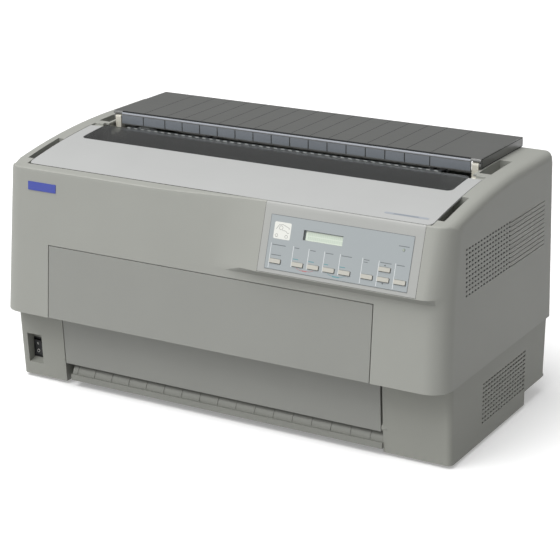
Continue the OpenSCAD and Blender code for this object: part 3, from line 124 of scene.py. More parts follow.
def add(tree, kind, settings=(), inputs=()):
    """Adds a node of a kind to a tree, with its settings, and its inputs set or linked."""
    item = tree.nodes.new(kind)
    for key, value in dict(settings).items():
        setattr(item, key, value)
    return wire(tree, item, inputs)


def blank(name):
    """A new material: its node tree, its Principled shader, and the Object coordinates."""
    material = bpy.data.materials.new(name)
    material.use_nodes = True
    tree = material.node_tree
    return material, tree, tree.nodes["Principled BSDF"], add(tree, "ShaderNodeTexCoord").outputs["Object"]


print("case grey in linear light:", [round(c, 3) for c in linear("#9b9c96")])

# %% [markdown]
# ## Moulded plastic
# Housings are ABS, injection moulded in a tool with a spark-eroded skin: a fine leathery grain that
# spreads highlights into a soft sheen. The real grain is about 0.3 mm and would vanish at this size,
# so it is drawn at 1.4 mm with very little depth. A slow mottle of 80 mm stands for flow and handling.
# An image of real grain would do too, but noise has no seams and needs no unwrapping.

# %% ABS and the other moulded plastics
CLOUD = 80  # mm, the slow mottle
GRAIN = 1.4  # mm, the grain as it is drawn
SPECKLE = 0.35  # share of the grain in the colour
SWING = 0.06  # how far roughness goes up and down with the grain
ABS = {"IOR": 1.54}


def moulded(name, code, roughness, grain=GRAIN, depth=0.02, mottle=0.04, settings=()):
    """Moulded plastic: colour with a slow mottle, grain in relief, roughness that follows the grain."""
    material, tree, shader, place = blank(name)
    cloud = add(tree, "ShaderNodeTexNoise", {}, {"Vector": place, "Scale": 1 / (CLOUD * MM), "Detail": 4.0})
    skin = add(tree, "ShaderNodeTexNoise", {}, {"Vector": place, "Scale": 1 / (grain * MM), "Detail": 2.0})
    colour = linear(code)
    dark = [c * (1 - mottle) for c in colour[:3]] + [1.0]
    light = [min(1.0, c * (1 + mottle)) for c in colour[:3]] + [1.0]
    share = add(tree, "ShaderNodeMath", {"operation": "MULTIPLY_ADD"},
                {0: skin.outputs["Fac"], 1: SPECKLE, 2: cloud.outputs["Fac"]})
    tint = add(tree, "ShaderNodeMix", {"data_type": "RGBA"}, {0: share.outputs[0], 6: dark, 7: light})
    rough = add(tree, "ShaderNodeMapRange", {}, {"Value": skin.outputs["Fac"],
                "To Min": roughness - SWING, "To Max": roughness + SWING})
    relief = add(tree, "ShaderNodeBump", {}, {"Height": skin.outputs["Fac"], "Strength": 1.0,
                 "Distance": depth * MM})
    wire(tree, shader, {"Base Color": tint.outputs[2], "Roughness": rough.outputs[0],
                        "Normal": relief.outputs[0], **dict(settings)})
    return material


finish = {
    # Grained ABS has a satin skin: broad soft highlights, no mirror.
    "case_plastic": moulded("grey_abs", "#9b9c96", 0.52, settings=ABS),
    # The base is darker than the case, partly by its own finish and partly by painted shade under the case's
    # overhang.
    "base_plastic": moulded("base_abs_finish_and_painted_shade", "#94958e", 0.54, settings=ABS),
    "cover_plastic": moulded("light_abs", "#afb0af", 0.46, settings=ABS),
    # Keys and posts are ivory ABS with a finer, slightly glossier skin.
    "key_plastic": moulded("ivory_abs", "#d3d0c4", 0.38, grain=0.9, settings=ABS),
    "guide_plastic": moulded("dark_abs", "#5d5e5a", 0.5, settings=ABS),
    # Inner parts are glass-filled PBT, dull, with a rough bloom where the fibres reach the skin.
    "black_plastic": moulded("black_pbt", "#1d1e1f", 0.46, depth=0.03, mottle=0.12),
    "knob_plastic": moulded("blue_pom", "#2c5a88", 0.34, depth=0.01),
    # Gears are natural acetal: milky, waxy and a little translucent.
    "gear_plastic": moulded("natural_pom", "#dcd9cd", 0.32, depth=0.01,
                            settings={"Subsurface Weight": 0.15, "Subsurface Scale": 0.002}),
    # Rubber has no clear highlight. Its skin is ground on the platen and cast on the belt.
    "platen_rubber": moulded("nitrile_rubber", "#26282a", 0.62, grain=0.9, depth=0.04, mottle=0.1),
    "belt_rubber": moulded("chloroprene_rubber", "#1b1b1c", 0.7, grain=0.9, depth=0.04, mottle=0.1),
}
print("moulded:", ", ".join(m.name for m in finish.values()))

# %% [markdown]
# ## Smoked polycarbonate
# The two clear covers are polycarbonate dyed a smoky grey and moulded in a polished tool. The dye is in
# the sheet, so a wall darkens what lies behind it, and the skin still mirrors the room. A clear shader
# with a grey tint does both, where a mix with a transparent one would lose the wall's thickness. Faint
# hairlines from wiping lift the roughness here and there. The window is clear, and the eject cover is a
# hazy grade that lets little show.

# %% Smoked polycarbonate
WIPED = (60, 1600, 60)  # marks per metre, so 0.6 mm wide and 17 mm long


def smoked(name, code, roughness, clear):
    """Dyed plastic, clear or hazy, with wiping marks drawn out along the sheet."""
    material, tree, shader, place = blank(name)
    stretch = add(tree, "ShaderNodeMapping", {}, {"Vector": place, "Scale": WIPED})
    wiped = add(tree, "ShaderNodeTexNoise", {}, {"Vector": stretch.outputs[0], "Scale": 1.0, "Detail": 3.0})
    cloud = add(tree, "ShaderNodeTexNoise", {}, {"Vector": place, "Scale": 1 / (CLOUD * MM), "Detail": 2.0})
    colour = linear(code)
    tint = add(tree, "ShaderNodeMix", {"data_type": "RGBA"},
               {0: cloud.outputs["Fac"], 6: [c * 0.92 for c in colour[:3]] + [1.0], 7: colour})
    rough = add(tree, "ShaderNodeMapRange", {}, {"Value": wiped.outputs["Fac"], "From Min": 0.35,
                "From Max": 0.75, "To Min": roughness, "To Max": roughness + 0.09})
    wire(tree, shader, {"Base Color": tint.outputs[2], "Roughness": rough.outputs[0],
                        "IOR": 1.585, "Transmission Weight": clear})
    return material


finish["smoked_clear"] = smoked("smoked_polycarbonate", "#878a89", 0.07, 0.95)
hazy = smoked("hazy_polycarbonate", "#70716f", 0.28, 0.25)
print("clear:", finish["smoked_clear"].name, "and", hazy.name)

# %% [markdown]
# ## Metals
# The floor pan, frames and shafts are zinc-plated steel, rolled before it was cut, so its faint lines run
# one way. The carriage rods are ground round: finer lines, more mirror. Both read their lines from noise
# that is stretched along X, which costs less than a shader that is anisotropic and shows from every side.
# The motors are painted, and the head's heat sink is cast and blasted, so its speckle runs no way at all.

# %% Steel, brass, paint and cast aluminium


def metal(name, code, roughness, line=0.5, run=(40, 1, 1), metallic=1.0, spread=0.12, depth=0.01):
    """Worked metal: lines one way, their width in millimetres, and roughness that follows them."""
    material, tree, shader, place = blank(name)
    scale = tuple(1 / (line * MM) / r for r in run)
    stretch = add(tree, "ShaderNodeMapping", {}, {"Vector": place, "Scale": scale})
    lines = add(tree, "ShaderNodeTexNoise", {}, {"Vector": stretch.outputs[0], "Scale": 1.0, "Detail": 4.0})
    cloud = add(tree, "ShaderNodeTexNoise", {}, {"Vector": place, "Scale": 1 / (30 * MM), "Detail": 5.0})
    colour = linear(code)
    tint = add(tree, "ShaderNodeMix", {"data_type": "RGBA"},
               {0: cloud.outputs["Fac"], 6: [c * 0.82 for c in colour[:3]] + [1.0], 7: colour})
    rough = add(tree, "ShaderNodeMapRange", {}, {"Value": lines.outputs["Fac"],
                "To Min": roughness - spread, "To Max": roughness + spread})
    relief = add(tree, "ShaderNodeBump", {}, {"Height": lines.outputs["Fac"], "Distance": depth * MM})
    wire(tree, shader, {"Base Color": tint.outputs[2], "Roughness": rough.outputs[0],
                        "Normal": relief.outputs[0], "Metallic": metallic})
    return material


# Zinc plate is a dull silver, ground steel nearly a mirror along the rod, and brass a warm one.
finish["plated_steel"] = metal("zinc_plated_steel", "#b9bcbc", 0.38)
finish["ground_steel"] = metal("ground_steel", "#d2d4d6", 0.2, line=0.3, spread=0.06)
finish["pinion_brass"] = metal("machined_brass", "#c6a765", 0.28, line=0.3)
# Paint hides the metal, and a blasted casting scatters all light that it gets.
finish["motor_metal"] = metal("black_paint", "#26282a", 0.42, line=1.2, run=(1, 1, 1), metallic=0.0)
finish["head_metal"] = metal("cast_aluminium", "#8f9294", 0.5, line=0.8, run=(1, 1, 1), depth=0.04)
print("metals:", ", ".join(finish[k].name for k in ("plated_steel", "ground_steel", "pinion_brass")))

# %% [markdown]
# ## Printed film and circuit boards
# The control panel's face is a polyester film, printed on its back and left matt in front. A circuit
# board is green glass-epoxy laminate, where copper tracks lie just under the lacquer. The tracks come
# from a brick pattern of 2.54 mm, the spacing of a component's pins, since no trace of them shows singly.

# %% Film and laminate
# Matt film spreads highlights evenly and has almost no relief.
finish["label_film"] = moulded("polyester_film", "#9ea4a6", 0.4, grain=0.9, depth=0.006, mottle=0.015)


def laminate(name, board, track):
    """Circuit board: lacquered laminate with raised tracks at the pitch of component pins."""
    material, tree, shader, place = blank(name)
    pins = add(tree, "ShaderNodeTexBrick", {"offset": 0.5},
               {"Vector": place, "Color1": linear(board), "Color2": linear(board), "Mortar": linear(track),
                "Scale": 1 / (2.54 * MM), "Mortar Size": 0.06, "Brick Width": 4.0, "Row Height": 1.0})
    relief = add(tree, "ShaderNodeBump", {}, {"Height": pins.outputs["Fac"], "Distance": 0.03 * MM})
    wire(tree, shader, {"Base Color": pins.outputs["Color"], "Roughness": 0.35, "Normal": relief.outputs[0]})
    return material


# Lacquer over green cloth gives an even gloss, broken by the tracks that stand up a little.
finish["board_laminate"] = laminate("glass_epoxy_laminate", "#1f5a36", "#2f7a4a")
print(len(finish), "finishes for", len(set(slot_of.values())), "slots")

# %% [markdown]
# ## Camera
# The photograph looks down on the printer from its front right with a long lens. Its place was solved
# from the printer's own straight edges: where parallel edges meet on the picture gives the angle, and the
# known width gives the distance. A photograph taken by hand is a little crooked, so the camera rolls too.
# A camera that tracks an empty would be quicker to set up, but three angles say exactly what was solved.

# %% Camera
AZIMUTH, ELEVATION, ROLL = (math.radians(a) for a in (30.148, 18.601, -0.322))
TARGET, DISTANCE = at(8.62, -6.0, 164.82), 2602.85 * MM
LENS, SENSOR = 116.77, 36

back = Vector((math.sin(AZIMUTH) * math.cos(ELEVATION), -math.cos(AZIMUTH) * math.cos(ELEVATION),
               math.sin(ELEVATION)))
right = Vector((math.cos(AZIMUTH), math.sin(AZIMUTH), 0))
up = back.cross(right)
right, up = (right * math.cos(ROLL) + up * math.sin(ROLL), up * math.cos(ROLL) - right * math.sin(ROLL))
view = Matrix((right, up, back)).transposed().to_4x4()
view.translation = TARGET + back * DISTANCE
lens = bpy.data.cameras.new("portrait_lens")
lens.lens, lens.sensor_width = LENS, SENSOR
lens.clip_start, lens.clip_end = 0.1, 40
camera = bpy.data.objects.new("portrait_camera", lens)
camera.matrix_world = view
bpy.context.scene.collection.objects.link(camera)
bpy.context.scene.camera = camera
print("camera at", [round(v, 3) for v in view.translation], "looking down", round(math.degrees(ELEVATION), 1))

# %% [markdown]
# ## Lamps
# A catalogue studio is a white table with large soft boxes. The strongest one hangs high over the front,
# so the top is lightest, the front is a step darker and the right side darker still. A sun with a wide
# angle stands for it, because it lights the whole printer evenly, and two area lamps fill the front.

# %% Lamps
bpy.context.scene.view_settings.view_transform = "Standard"
MIDDLE = (0, 0, 0.2)


def lamp(name, kind, energy, place, aim=MIDDLE, **settings):
    """A lamp at a place in metres that looks at another place."""
    light = bpy.data.lights.new(name, kind)
    light.energy = energy
    for key, value in settings.items():
        setattr(light, key, value)
    thing = bpy.data.objects.new(name, light)
    thing.location = place
    thing.rotation_euler = (Vector(aim) - Vector(place)).to_track_quat("-Z", "Y").to_euler()
    bpy.context.scene.collection.objects.link(thing)
    return thing


lamps = (lamp("top_soft_box", "SUN", 2.62, (-0.45, -0.75, 2.4), angle=math.radians(50)),
         lamp("front_soft_box", "AREA", 16.3, (-1.0, -2.2, 2.1), shape="RECTANGLE", size=1.8, size_y=1.4),
         lamp("low_soft_box", "AREA", 2.5, (-0.9, -2.6, 0.2), (0, 0, 0.1), shape="RECTANGLE", size=2.0,
              size_y=0.4))
print("lamps:", ", ".join(thing.name for thing in lamps))

# %% [markdown]
# ## The room
# The clear covers and all satin skins mirror the room, so it needs a shape. It is paler high up than at the
# horizon, and darker behind the printer. A picture of a studio would give the same, but three fades
# over the direction of the ray are enough. The lower half sends a little light up to the front.

# %% The room's fades
room = bpy.data.worlds.new("studio_room")
room.use_nodes = True
bpy.context.scene.world = room
walls = room.node_tree
ray = add(walls, "ShaderNodeTexCoord").outputs["Generated"]
heading = add(walls, "ShaderNodeSeparateXYZ", {}, {0: ray}).outputs


def faded(axis, start, end, first, last):
    """A strength that goes smoothly from a first value to a last one along an axis of the ray."""
    return add(walls, "ShaderNodeMapRange", {"interpolation_type": "SMOOTHSTEP"},
               {"Value": heading[axis], "From Min": start, "From Max": end, "To Min": first,
                "To Max": last}).outputs[0]


high_up = faded("Z", 0.0, 0.5, 0.36, 0.52)
behind = faded("Y", -0.4, 0.6, 1.0, 0.45)
bounce = faded("Y", -1.0, 0.0, 0.22, 0.0)
below = add(walls, "ShaderNodeMath", {"operation": "LESS_THAN"}, {0: heading["Z"], 1: 0.0})
fill = add(walls, "ShaderNodeMath", {"operation": "MULTIPLY"}, {0: bounce, 1: below.outputs[0]})
level = add(walls, "ShaderNodeMath", {"operation": "MULTIPLY_ADD"},
            {0: high_up, 1: behind, 2: fill.outputs[0]})
wire(walls, walls.nodes["Background"], {"Color": (1.0, 1.0, 1.0, 1.0), "Strength": level.outputs[0]})
print("room:", len(walls.nodes), "nodes")

# %% [markdown]
# ## The table
# The table is opal acrylic, lit from beneath so that it stays white in the picture. What such a table throws
# back onto the printer would be far too much, so its bounce is switched off, and the lower half of the
# room gives a weaker one instead.

# %% The table
TABLE = 16.0
sheet = bpy.data.meshes.new("table_sheet")
corners = [(x * TABLE / 2, y * TABLE / 2, 0) for x, y in ((-1, -1), (1, -1), (1, 1), (-1, 1))]
sheet.from_pydata(corners, [], [(0, 1, 2, 3)])
table = bpy.data.objects.new("table_sheet", sheet)
bpy.context.scene.collection.objects.link(table)
acrylic, tree, shader, place = blank("opal_acrylic")
cloud = add(tree, "ShaderNodeTexNoise", {}, {"Vector": place, "Scale": 2.0})
tint = add(tree, "ShaderNodeMix", {"data_type": "RGBA"},
           {0: cloud.outputs["Fac"], 6: linear("#eeeeee"), 7: linear("#f0f0f0")})
wire(tree, shader, {"Base Color": tint.outputs[2], "Roughness": 0.9, "Specular IOR Level": 0.0,
                    "Emission Color": (1.0, 1.0, 1.0, 1.0), "Emission Strength": 0.25})
sheet.materials.append(acrylic)
table.visible_diffuse = False
print("table:", TABLE, "m wide")

# %% [markdown]
# ## A finished piece
# Each finished piece needs three things: a body to ride on, its materials, which are its slot's finish
# unless others are given, and the solid it takes the place of, if it does. One function sees to them all,
# so no piece can forget one.

# %% Link a finished piece


def finished(name, mesh, body, slot, *materials, stands_for=()):
    """Links a mesh as a finished piece that rides on a body, with the given materials or else its slot's
    finish.
    """
    thing = bpy.data.objects.new(name, mesh)
    bpy.context.scene.collection.objects.link(thing)
    for material in materials or (finish[slot],):
        mesh.materials.append(material)
    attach(thing, body)
    if stands_for:
        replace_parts(thing, *stands_for)
    return thing


print("finishes to choose from:", ", ".join(sorted(finish)))

# %% [markdown]
# ## From a solid to a moulding
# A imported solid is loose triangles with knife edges. So each shown solid gets a copy whose triangles are
# joined and whose flat regions are made one face again. Shading such large faces smoothly needs care: the
# normal at a corner is the mean of the faces that meet there, weighed by area, so a big flat wall
# stays flat and only the small faces beside it bend. A Weighted Normal modifier does nearly the same, but
# it lets the tiny faces at the end of a rounded edge spoil the wall.

# %% Join the triangles, weigh the normals
WELD = 0.004  # mm, below the finest detail of any solid
FLAT = math.radians(0.4)
SAME = math.cos(math.radians(32))


def weighed(mesh):
    """Corner normals as the area-weighted mean of the faces that meet there within SAME of each other."""
    mesh.shade_smooth()
    normals = [Vector(face.normal) for face in mesh.polygons]
    areas = [face.area for face in mesh.polygons]
    around = [[] for _ in mesh.vertices]
    for face in mesh.polygons:
        for vert in face.vertices:
            around[vert].append(face.index)
    corners = []
    for face in mesh.polygons:
        own = normals[face.index]
        for vert in face.vertices:
            total = Vector()
            for other in around[vert]:
                if normals[other].dot(own) > SAME:
                    total += normals[other] * areas[other]
            corners.append(total.normalized() if total.length else own)
    mesh.normals_split_custom_set(corners)
    return mesh


def joined(node):
    """A copy of a CAD node with its triangles joined and its flat regions made one face."""
    bm = bmesh.new()
    bm.from_mesh(frame["nodes"][node].data)
    bmesh.ops.remove_doubles(bm, verts=bm.verts, dist=WELD * MM)
    bmesh.ops.dissolve_limit(bm, angle_limit=FLAT, verts=bm.verts, edges=bm.edges)
    return bm


print("faces within", round(math.degrees(math.acos(SAME))), "degrees of each other share a normal")

# %% [markdown]
# ## Rounded edges
# No real moulding has a knife edge: the tool rounds each one a little, and that radius is what catches the
# light. A Bevel modifier could round every edge by its angle, but it would also try the short steps of a
# curve and tear there. So the edges are chosen one by one: real corners that are long enough. A bevel that
# stopped halfway along a line would drag the next face with it, so it runs on where the line does, and a
# line that can't be rounded to its end isn't rounded at all.

# %% Choose the edges and bevel them
CORNER = math.radians(28)
AHEAD = 0.7  # cosine above which the next edge carries the line on
SHORTEST = 2.2  # radii that fit in the shortest edge of a line


def runs_on(edge, vert):
    """The edges that carry on a line past one of its ends."""
    line = (vert.co - edge.other_vert(vert).co).normalized()
    return [o for o in vert.link_edges
            if o is not edge and (o.other_vert(vert).co - vert.co).normalized().dot(line) > AHEAD]


def rounded_edges(bm, radius, longer):
    """Bevels the real corners of a solid, radius and shortest first edge in millimetres."""
    sharp = {e for e in bm.edges if len(e.link_faces) == 2 and e.calc_face_angle(0) > CORNER}
    chosen = {e for e in sharp if e.calc_length() > longer * MM}
    front = list(chosen)
    while front:
        edge = front.pop()
        for other in (o for v in edge.verts for o in runs_on(edge, v)):
            if other in sharp and other not in chosen and other.calc_length() > SHORTEST * radius * MM:
                chosen.add(other)
                front.append(other)
    loose = chosen
    while loose:
        loose = {e for e in chosen if any(o not in chosen for v in e.verts for o in runs_on(e, v))}
        chosen = chosen - loose
    if chosen:
        bmesh.ops.bevel(bm, geom=sorted(chosen, key=lambda e: e.index), offset=radius * MM, segments=2,
                        profile=0.5, affect="EDGES", clamp_overlap=False)
    return len(chosen)


def moulding(node, radius, longer, *materials):
    """Stands a finished copy of a CAD node in its place."""
    bm = joined(node)
    edges = rounded_edges(bm, radius, longer)
    mesh = bpy.data.meshes.new(node + "_skin")
    bm.to_mesh(mesh)
    bm.free()
    finished(node + "_finished", weighed(mesh), body_of[node], slot_of[node], *materials, stands_for=(node,))
    print(f"{node}: {len(mesh.polygons)} faces, {edges} edges rounded by {radius} mm")


# %% [markdown]
# ## The case, its covers and the base
# These are the mouldings the eye meets first. A tool maker gives a visible corner a radius of about 0.5 mm,
# and small mouldings and keys 0.3 mm. Where a part is a shade off its slot's colour, it gets its own shade
# of ABS; for the sill and the front cover that darker shade is painted shade, as they lie low under the case.

# %% Dress the outer mouldings
for node, radius, longer in (
        ("upper_case", 0.5, 6), ("lower_case", 0.5, 6), ("printer_cover", 0.6, 6), ("cover_window", 0.4, 6),
        ("rear_guide", 0.4, 6), ("hinge_brackets", 0.4, 3)):
    moulding(node, radius, longer)
moulding("eject_cover", 0.4, 8, hazy)
# The bezel is paler than the case, the sill and the front cover are darker by painted shade, all with the
# case's satin skin.
# The guide under the eject cover is smoke grey and a little glossier, polished by paper.
moulding("console_bezel", 0.3, 6, moulded("light_grey_abs", "#a4a5a2", 0.5, settings=ABS))
# Painted shade: the sill's darker grey stands for the shade under the case.
moulding("front_sill", 0.3, 4, moulded("grey_abs_deeper_painted_shade", "#858680", 0.54, settings=ABS))
moulding("exit_guide", 0.3, 3, moulded("smoke_grey_abs", "#4b4f51", 0.42, settings=ABS))
# Painted shade: the front cover is the case's plastic, darkened for the shade it lies in.
moulding("front_cover", 0.8, 6, moulded("grey_abs_front_painted_shade", "#8f908b", 0.52, settings=ABS))
# Keys are beige, with a finer grain that fingers have smoothed.
keycap = moulded("beige_abs", "#b9b7ae", 0.42, grain=0.9, settings=ABS)
for number in range(1, 10):
    moulding(f"button_{number}", 0.35, 3, keycap)

# %% [markdown]
# ## Inner parts
# What shows when a cover is lifted gets the same care with smaller radii: turned and stamped parts have
# their burrs broken by about 0.2 mm. A loop over all that is left makes sure that no solid stays bare.

# %% Dress every other solid
done = {o["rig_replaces"][0] for o in bpy.context.scene.objects if "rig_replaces" in o}
for node in sorted(set(slot_of) - done):
    moulding(node, 0.25, 2.0)

# %% [markdown]
# ## Copies in rows
# Vents, teeth, pins and screws repeat. An Array modifier could lay one row, but a tree of Geometry Nodes
# lays columns and rows at once and shows how: it makes a point for every copy, works out its place
# from its number, and stands the piece there. Realize Instances turns the copies into plain faces, which an
# export needs.

# %% A tree that lays copies in columns and rows
rows_tree = bpy.data.node_groups.new("copies_in_rows", "GeometryNodeTree")
for label, kind in (("Piece", "Geometry"), ("Columns", "Int"), ("Rows", "Int"), ("Step", "Vector"),
                    ("Row Step", "Vector"), ("Finish", "Material")):
    rows_tree.interface.new_socket(label, in_out="INPUT", socket_type="NodeSocket" + kind)
rows_tree.interface.new_socket("Copies", in_out="OUTPUT", socket_type="NodeSocketGeometry")
given = add(rows_tree, "NodeGroupInput").outputs
number = add(rows_tree, "GeometryNodeInputIndex").outputs[0]
column = add(rows_tree, "ShaderNodeMath", {"operation": "MODULO"}, {0: number, 1: given["Columns"]})
share = add(rows_tree, "ShaderNodeMath", {"operation": "DIVIDE"}, {0: number, 1: given["Columns"]})
row = add(rows_tree, "ShaderNodeMath", {"operation": "FLOOR"}, {0: share.outputs[0]})
along = add(rows_tree, "ShaderNodeVectorMath", {"operation": "SCALE"},
            {0: given["Step"], "Scale": column.outputs[0]})
across = add(rows_tree, "ShaderNodeVectorMath", {"operation": "SCALE"},
             {0: given["Row Step"], "Scale": row.outputs[0]})
spot = add(rows_tree, "ShaderNodeVectorMath", {}, {0: along.outputs[0], 1: across.outputs[0]})
amount = add(rows_tree, "ShaderNodeMath", {"operation": "MULTIPLY"}, {0: given["Columns"], 1: given["Rows"]})
points = add(rows_tree, "GeometryNodePoints", {}, {"Count": amount.outputs[0], "Position": spot.outputs[0]})
stood = add(rows_tree, "GeometryNodeInstanceOnPoints", {},
            {"Points": points.outputs[0], "Instance": given["Piece"]})
real = add(rows_tree, "GeometryNodeRealizeInstances", {}, {0: stood.outputs[0]})
coated = add(rows_tree, "GeometryNodeSetMaterial", {}, {0: real.outputs[0], "Material": given["Finish"]})
add(rows_tree, "NodeGroupOutput", {}, {0: coated.outputs[0]})
ident = {item.name: item.identifier for item in rows_tree.interface.items_tree}


def copies(name, piece, columns, step, rows=1, row_step=(0, 0, 0), body="root", slot="case_plastic",
           material=None, origin=(0, 0, 0)):
    """Lays copies of a mesh from an origin, steps in millimetres, and links them as one finished piece."""
    thing = bpy.data.objects.new(name, piece)
    bpy.context.scene.collection.objects.link(thing)
    laid = thing.modifiers.new("copies", "NODES")
    laid.node_group = rows_tree
    material = material or finish[slot]
    for label, value in (("Columns", columns), ("Rows", rows), ("Step", [v * MM for v in step]),
                         ("Row Step", [v * MM for v in row_step]), ("Finish", material)):
        laid[ident[label]] = value
    mesh = bpy.data.meshes.new_from_object(thing.evaluated_get(bpy.context.evaluated_depsgraph_get()))
    bpy.data.objects.remove(thing)
    mesh.transform(Matrix.Translation(Vector(origin) * MM))
    mesh.materials.clear()
    return finished(name, mesh, body, slot, material)


print("tree inputs:", ", ".join(ident))

# %% [markdown]
# ## Small pieces to copy or to place
# A block is a box, most often with rounded edges. A turned piece is a profile swept round its axis, such as
# a screw's head. A plate is an outline with a thickness, laid by a matrix on a slanted face. Primitives from
# the Add menu would need to be placed and scaled, while these are made where they belong.

# %% Blocks and turned pieces
BREAK = math.radians(35)  # faces that meet at more than this are shaded apart


def packed(bm):
    """The mesh of a bmesh, faces outward, flat walls shaded flat."""
    bmesh.ops.recalc_face_normals(bm, faces=bm.faces)
    mesh = bpy.data.meshes.new("piece")
    bm.to_mesh(mesh)
    bm.free()
    mesh.shade_smooth()
    mesh.set_sharp_from_angle(angle=BREAK)
    return mesh


def blocks(*spans, radius=0.15, lean=None):
    """Boxes with rounded edges between pairs of corners, in millimetres, then leaned by a matrix."""
    bm = bmesh.new()
    for low, high in spans:
        middle = [(a + b) / 2 for a, b in zip(low, high)]
        size = [abs(b - a) for a, b in zip(low, high)]
        made = bmesh.ops.create_cube(bm, size=1.0)["verts"]
        bmesh.ops.scale(bm, vec=Vector(size) * MM, verts=made)
        bmesh.ops.translate(bm, vec=Vector(middle) * MM, verts=made)
        edges = list({e for v in made for e in v.link_edges})
        if radius:
            bmesh.ops.bevel(bm, geom=edges, offset=min(radius, 0.3 * min(size)) * MM, segments=1,
                            profile=0.5, affect="EDGES", clamp_overlap=False)
    if lean is not None:
        bmesh.ops.transform(bm, matrix=lean, verts=bm.verts)
    return packed(bm)


def turned(profile, axis="Y", sides=24):
    """A profile of (radius, height) in millimetres swept round Y, to the front, or Z, closed at both ends."""
    bm = bmesh.new()
    rings = []
    for radius, high in profile:
        rings.append([bm.verts.new((radius * MM * math.cos(2 * math.pi * k / sides),
                                    radius * MM * math.sin(2 * math.pi * k / sides), high * MM))
                      for k in range(sides)])
    for lower, upper in zip(rings, rings[1:]):
        for k in range(sides):
            bm.faces.new((lower[k], lower[(k + 1) % sides], upper[(k + 1) % sides], upper[k]))
    bm.faces.new(reversed(rings[0]))
    bm.faces.new(rings[-1])
    if axis == "Y":
        bmesh.ops.transform(bm, matrix=Matrix.Rotation(math.pi / 2, 4, "X"), verts=bm.verts)
    return packed(bm)


print("a screw's head has", len(turned([(3, 0), (3, 1), (2, 2)]).polygons), "faces")

# %% [markdown]
# ## Outlines and plates
# Ink, film and sheet metal are flat shapes with hardly any thickness. An outline is a list of points on the
# face, so a bar, a bar with round ends and a line are each a few words, and a matrix lays them on the
# slanted console or on a wall. A printed picture would be less work, but shapes stay sharp up close.

# %% Outlines and plates


def plates(outlines, low, high, lay):
    """Flat plates from outlines in millimetres, between two heights, laid by a matrix."""
    bm = bmesh.new()
    for outline in outlines:
        bottom = [bm.verts.new((x * MM, y * MM, low * MM)) for x, y in outline]
        top = [bm.verts.new((x * MM, y * MM, high * MM)) for x, y in outline]
        bm.faces.new(top)
        bm.faces.new(reversed(bottom))
        for k in range(len(outline)):
            j = (k + 1) % len(outline)
            bm.faces.new((bottom[k], bottom[j], top[j], top[k]))
    bmesh.ops.transform(bm, matrix=lay, verts=bm.verts)
    return packed(bm)


def bar(x0, y0, x1, y1):
    """A rectangle as an outline."""
    return [(x0, y0), (x1, y0), (x1, y1), (x0, y1)]


def pill(x0, y0, x1, y1, r, steps=6):
    """A rectangle with round corners as an outline."""
    centres = ((x1 - r, y0 + r, -90), (x1 - r, y1 - r, 0), (x0 + r, y1 - r, 90), (x0 + r, y0 + r, 180))
    return [(cx + r * math.cos(math.radians(a + 90 * k / steps)),
             cy + r * math.sin(math.radians(a + 90 * k / steps)))
            for cx, cy, a in centres for k in range(steps + 1)]


def stroke(points, width):
    """A line through points as outlines, one for each stretch."""
    pieces = []
    for (x0, y0), (x1, y1) in zip(points, points[1:]):
        long = math.hypot(x1 - x0, y1 - y0)
        dx, dy = (x1 - x0) / long * width / 2, (y1 - y0) / long * width / 2
        pieces.append([(x0 - dx + dy, y0 - dy - dx), (x1 + dx + dy, y1 + dy - dx),
                       (x1 + dx - dy, y1 + dy + dx), (x0 - dx - dy, y0 - dy + dx)])
    return pieces


def circle(cx, cy, r, sides=24):
    """A ring as a line of points, its first point given twice to close it."""
    turn = 2 * math.pi / sides
    return [(cx + r * math.cos(k * turn), cy + r * math.sin(k * turn)) for k in range(sides + 1)]


def face_at(y, z, lean):
    """The matrix of a face that looks forward and leans back by some degrees, X along it, Y up it."""
    a = math.radians(lean)
    return Matrix(((1, 0, 0, 0), (0, math.sin(a), -math.cos(a), y * MM),
                   (0, math.cos(a), math.sin(a), z * MM), (0, 0, 0, 1)))


print("a bar with round ends has", len(pill(0, 0, 4, 2, 1)), "points")

# %% [markdown]
# ## Louvres
# In the solid each vent is a set of long grooves that cross slots behind them. On the real case only the
# crossings near the front are open: between them the wall comes nearly to the surface, and further back
# the grooves are thin lines. Cutting hundreds of holes would be slow, so small blocks close what is between
# and strips narrow the rest. The openings are dark inside, so a black sheet in each one is painted shade.

# %% The leaning side walls and the painted vent shade
(_, _, FOOT), (HALF, _, _) = box_mm("upper_case")
LEAN = math.atan(6 / 241)  # each side leans in by 6 mm over the height of the wall
SLOT, ROW = 9.2, 6.2  # mm from slot to slot and from groove to groove
# A dull black sheet, painted as the shade inside the vent openings.
vent_shade = moulded("painted_vent_shade", "#101110", 0.85, grain=0.5, depth=0.05, mottle=0.2)  # dull and deep


def side_wall(side):
    """The matrix of a side wall that leans in from its foot: X out of the wall, Z up it."""
    lean = Matrix.Rotation(-LEAN, 4, "Y")
    return Matrix.Diagonal((side, 1, 1, 1)) @ Matrix.Translation((HALF * MM, 0, FOOT * MM)) @ lean


print("side walls lean in by", round(math.degrees(LEAN), 2), "degrees")
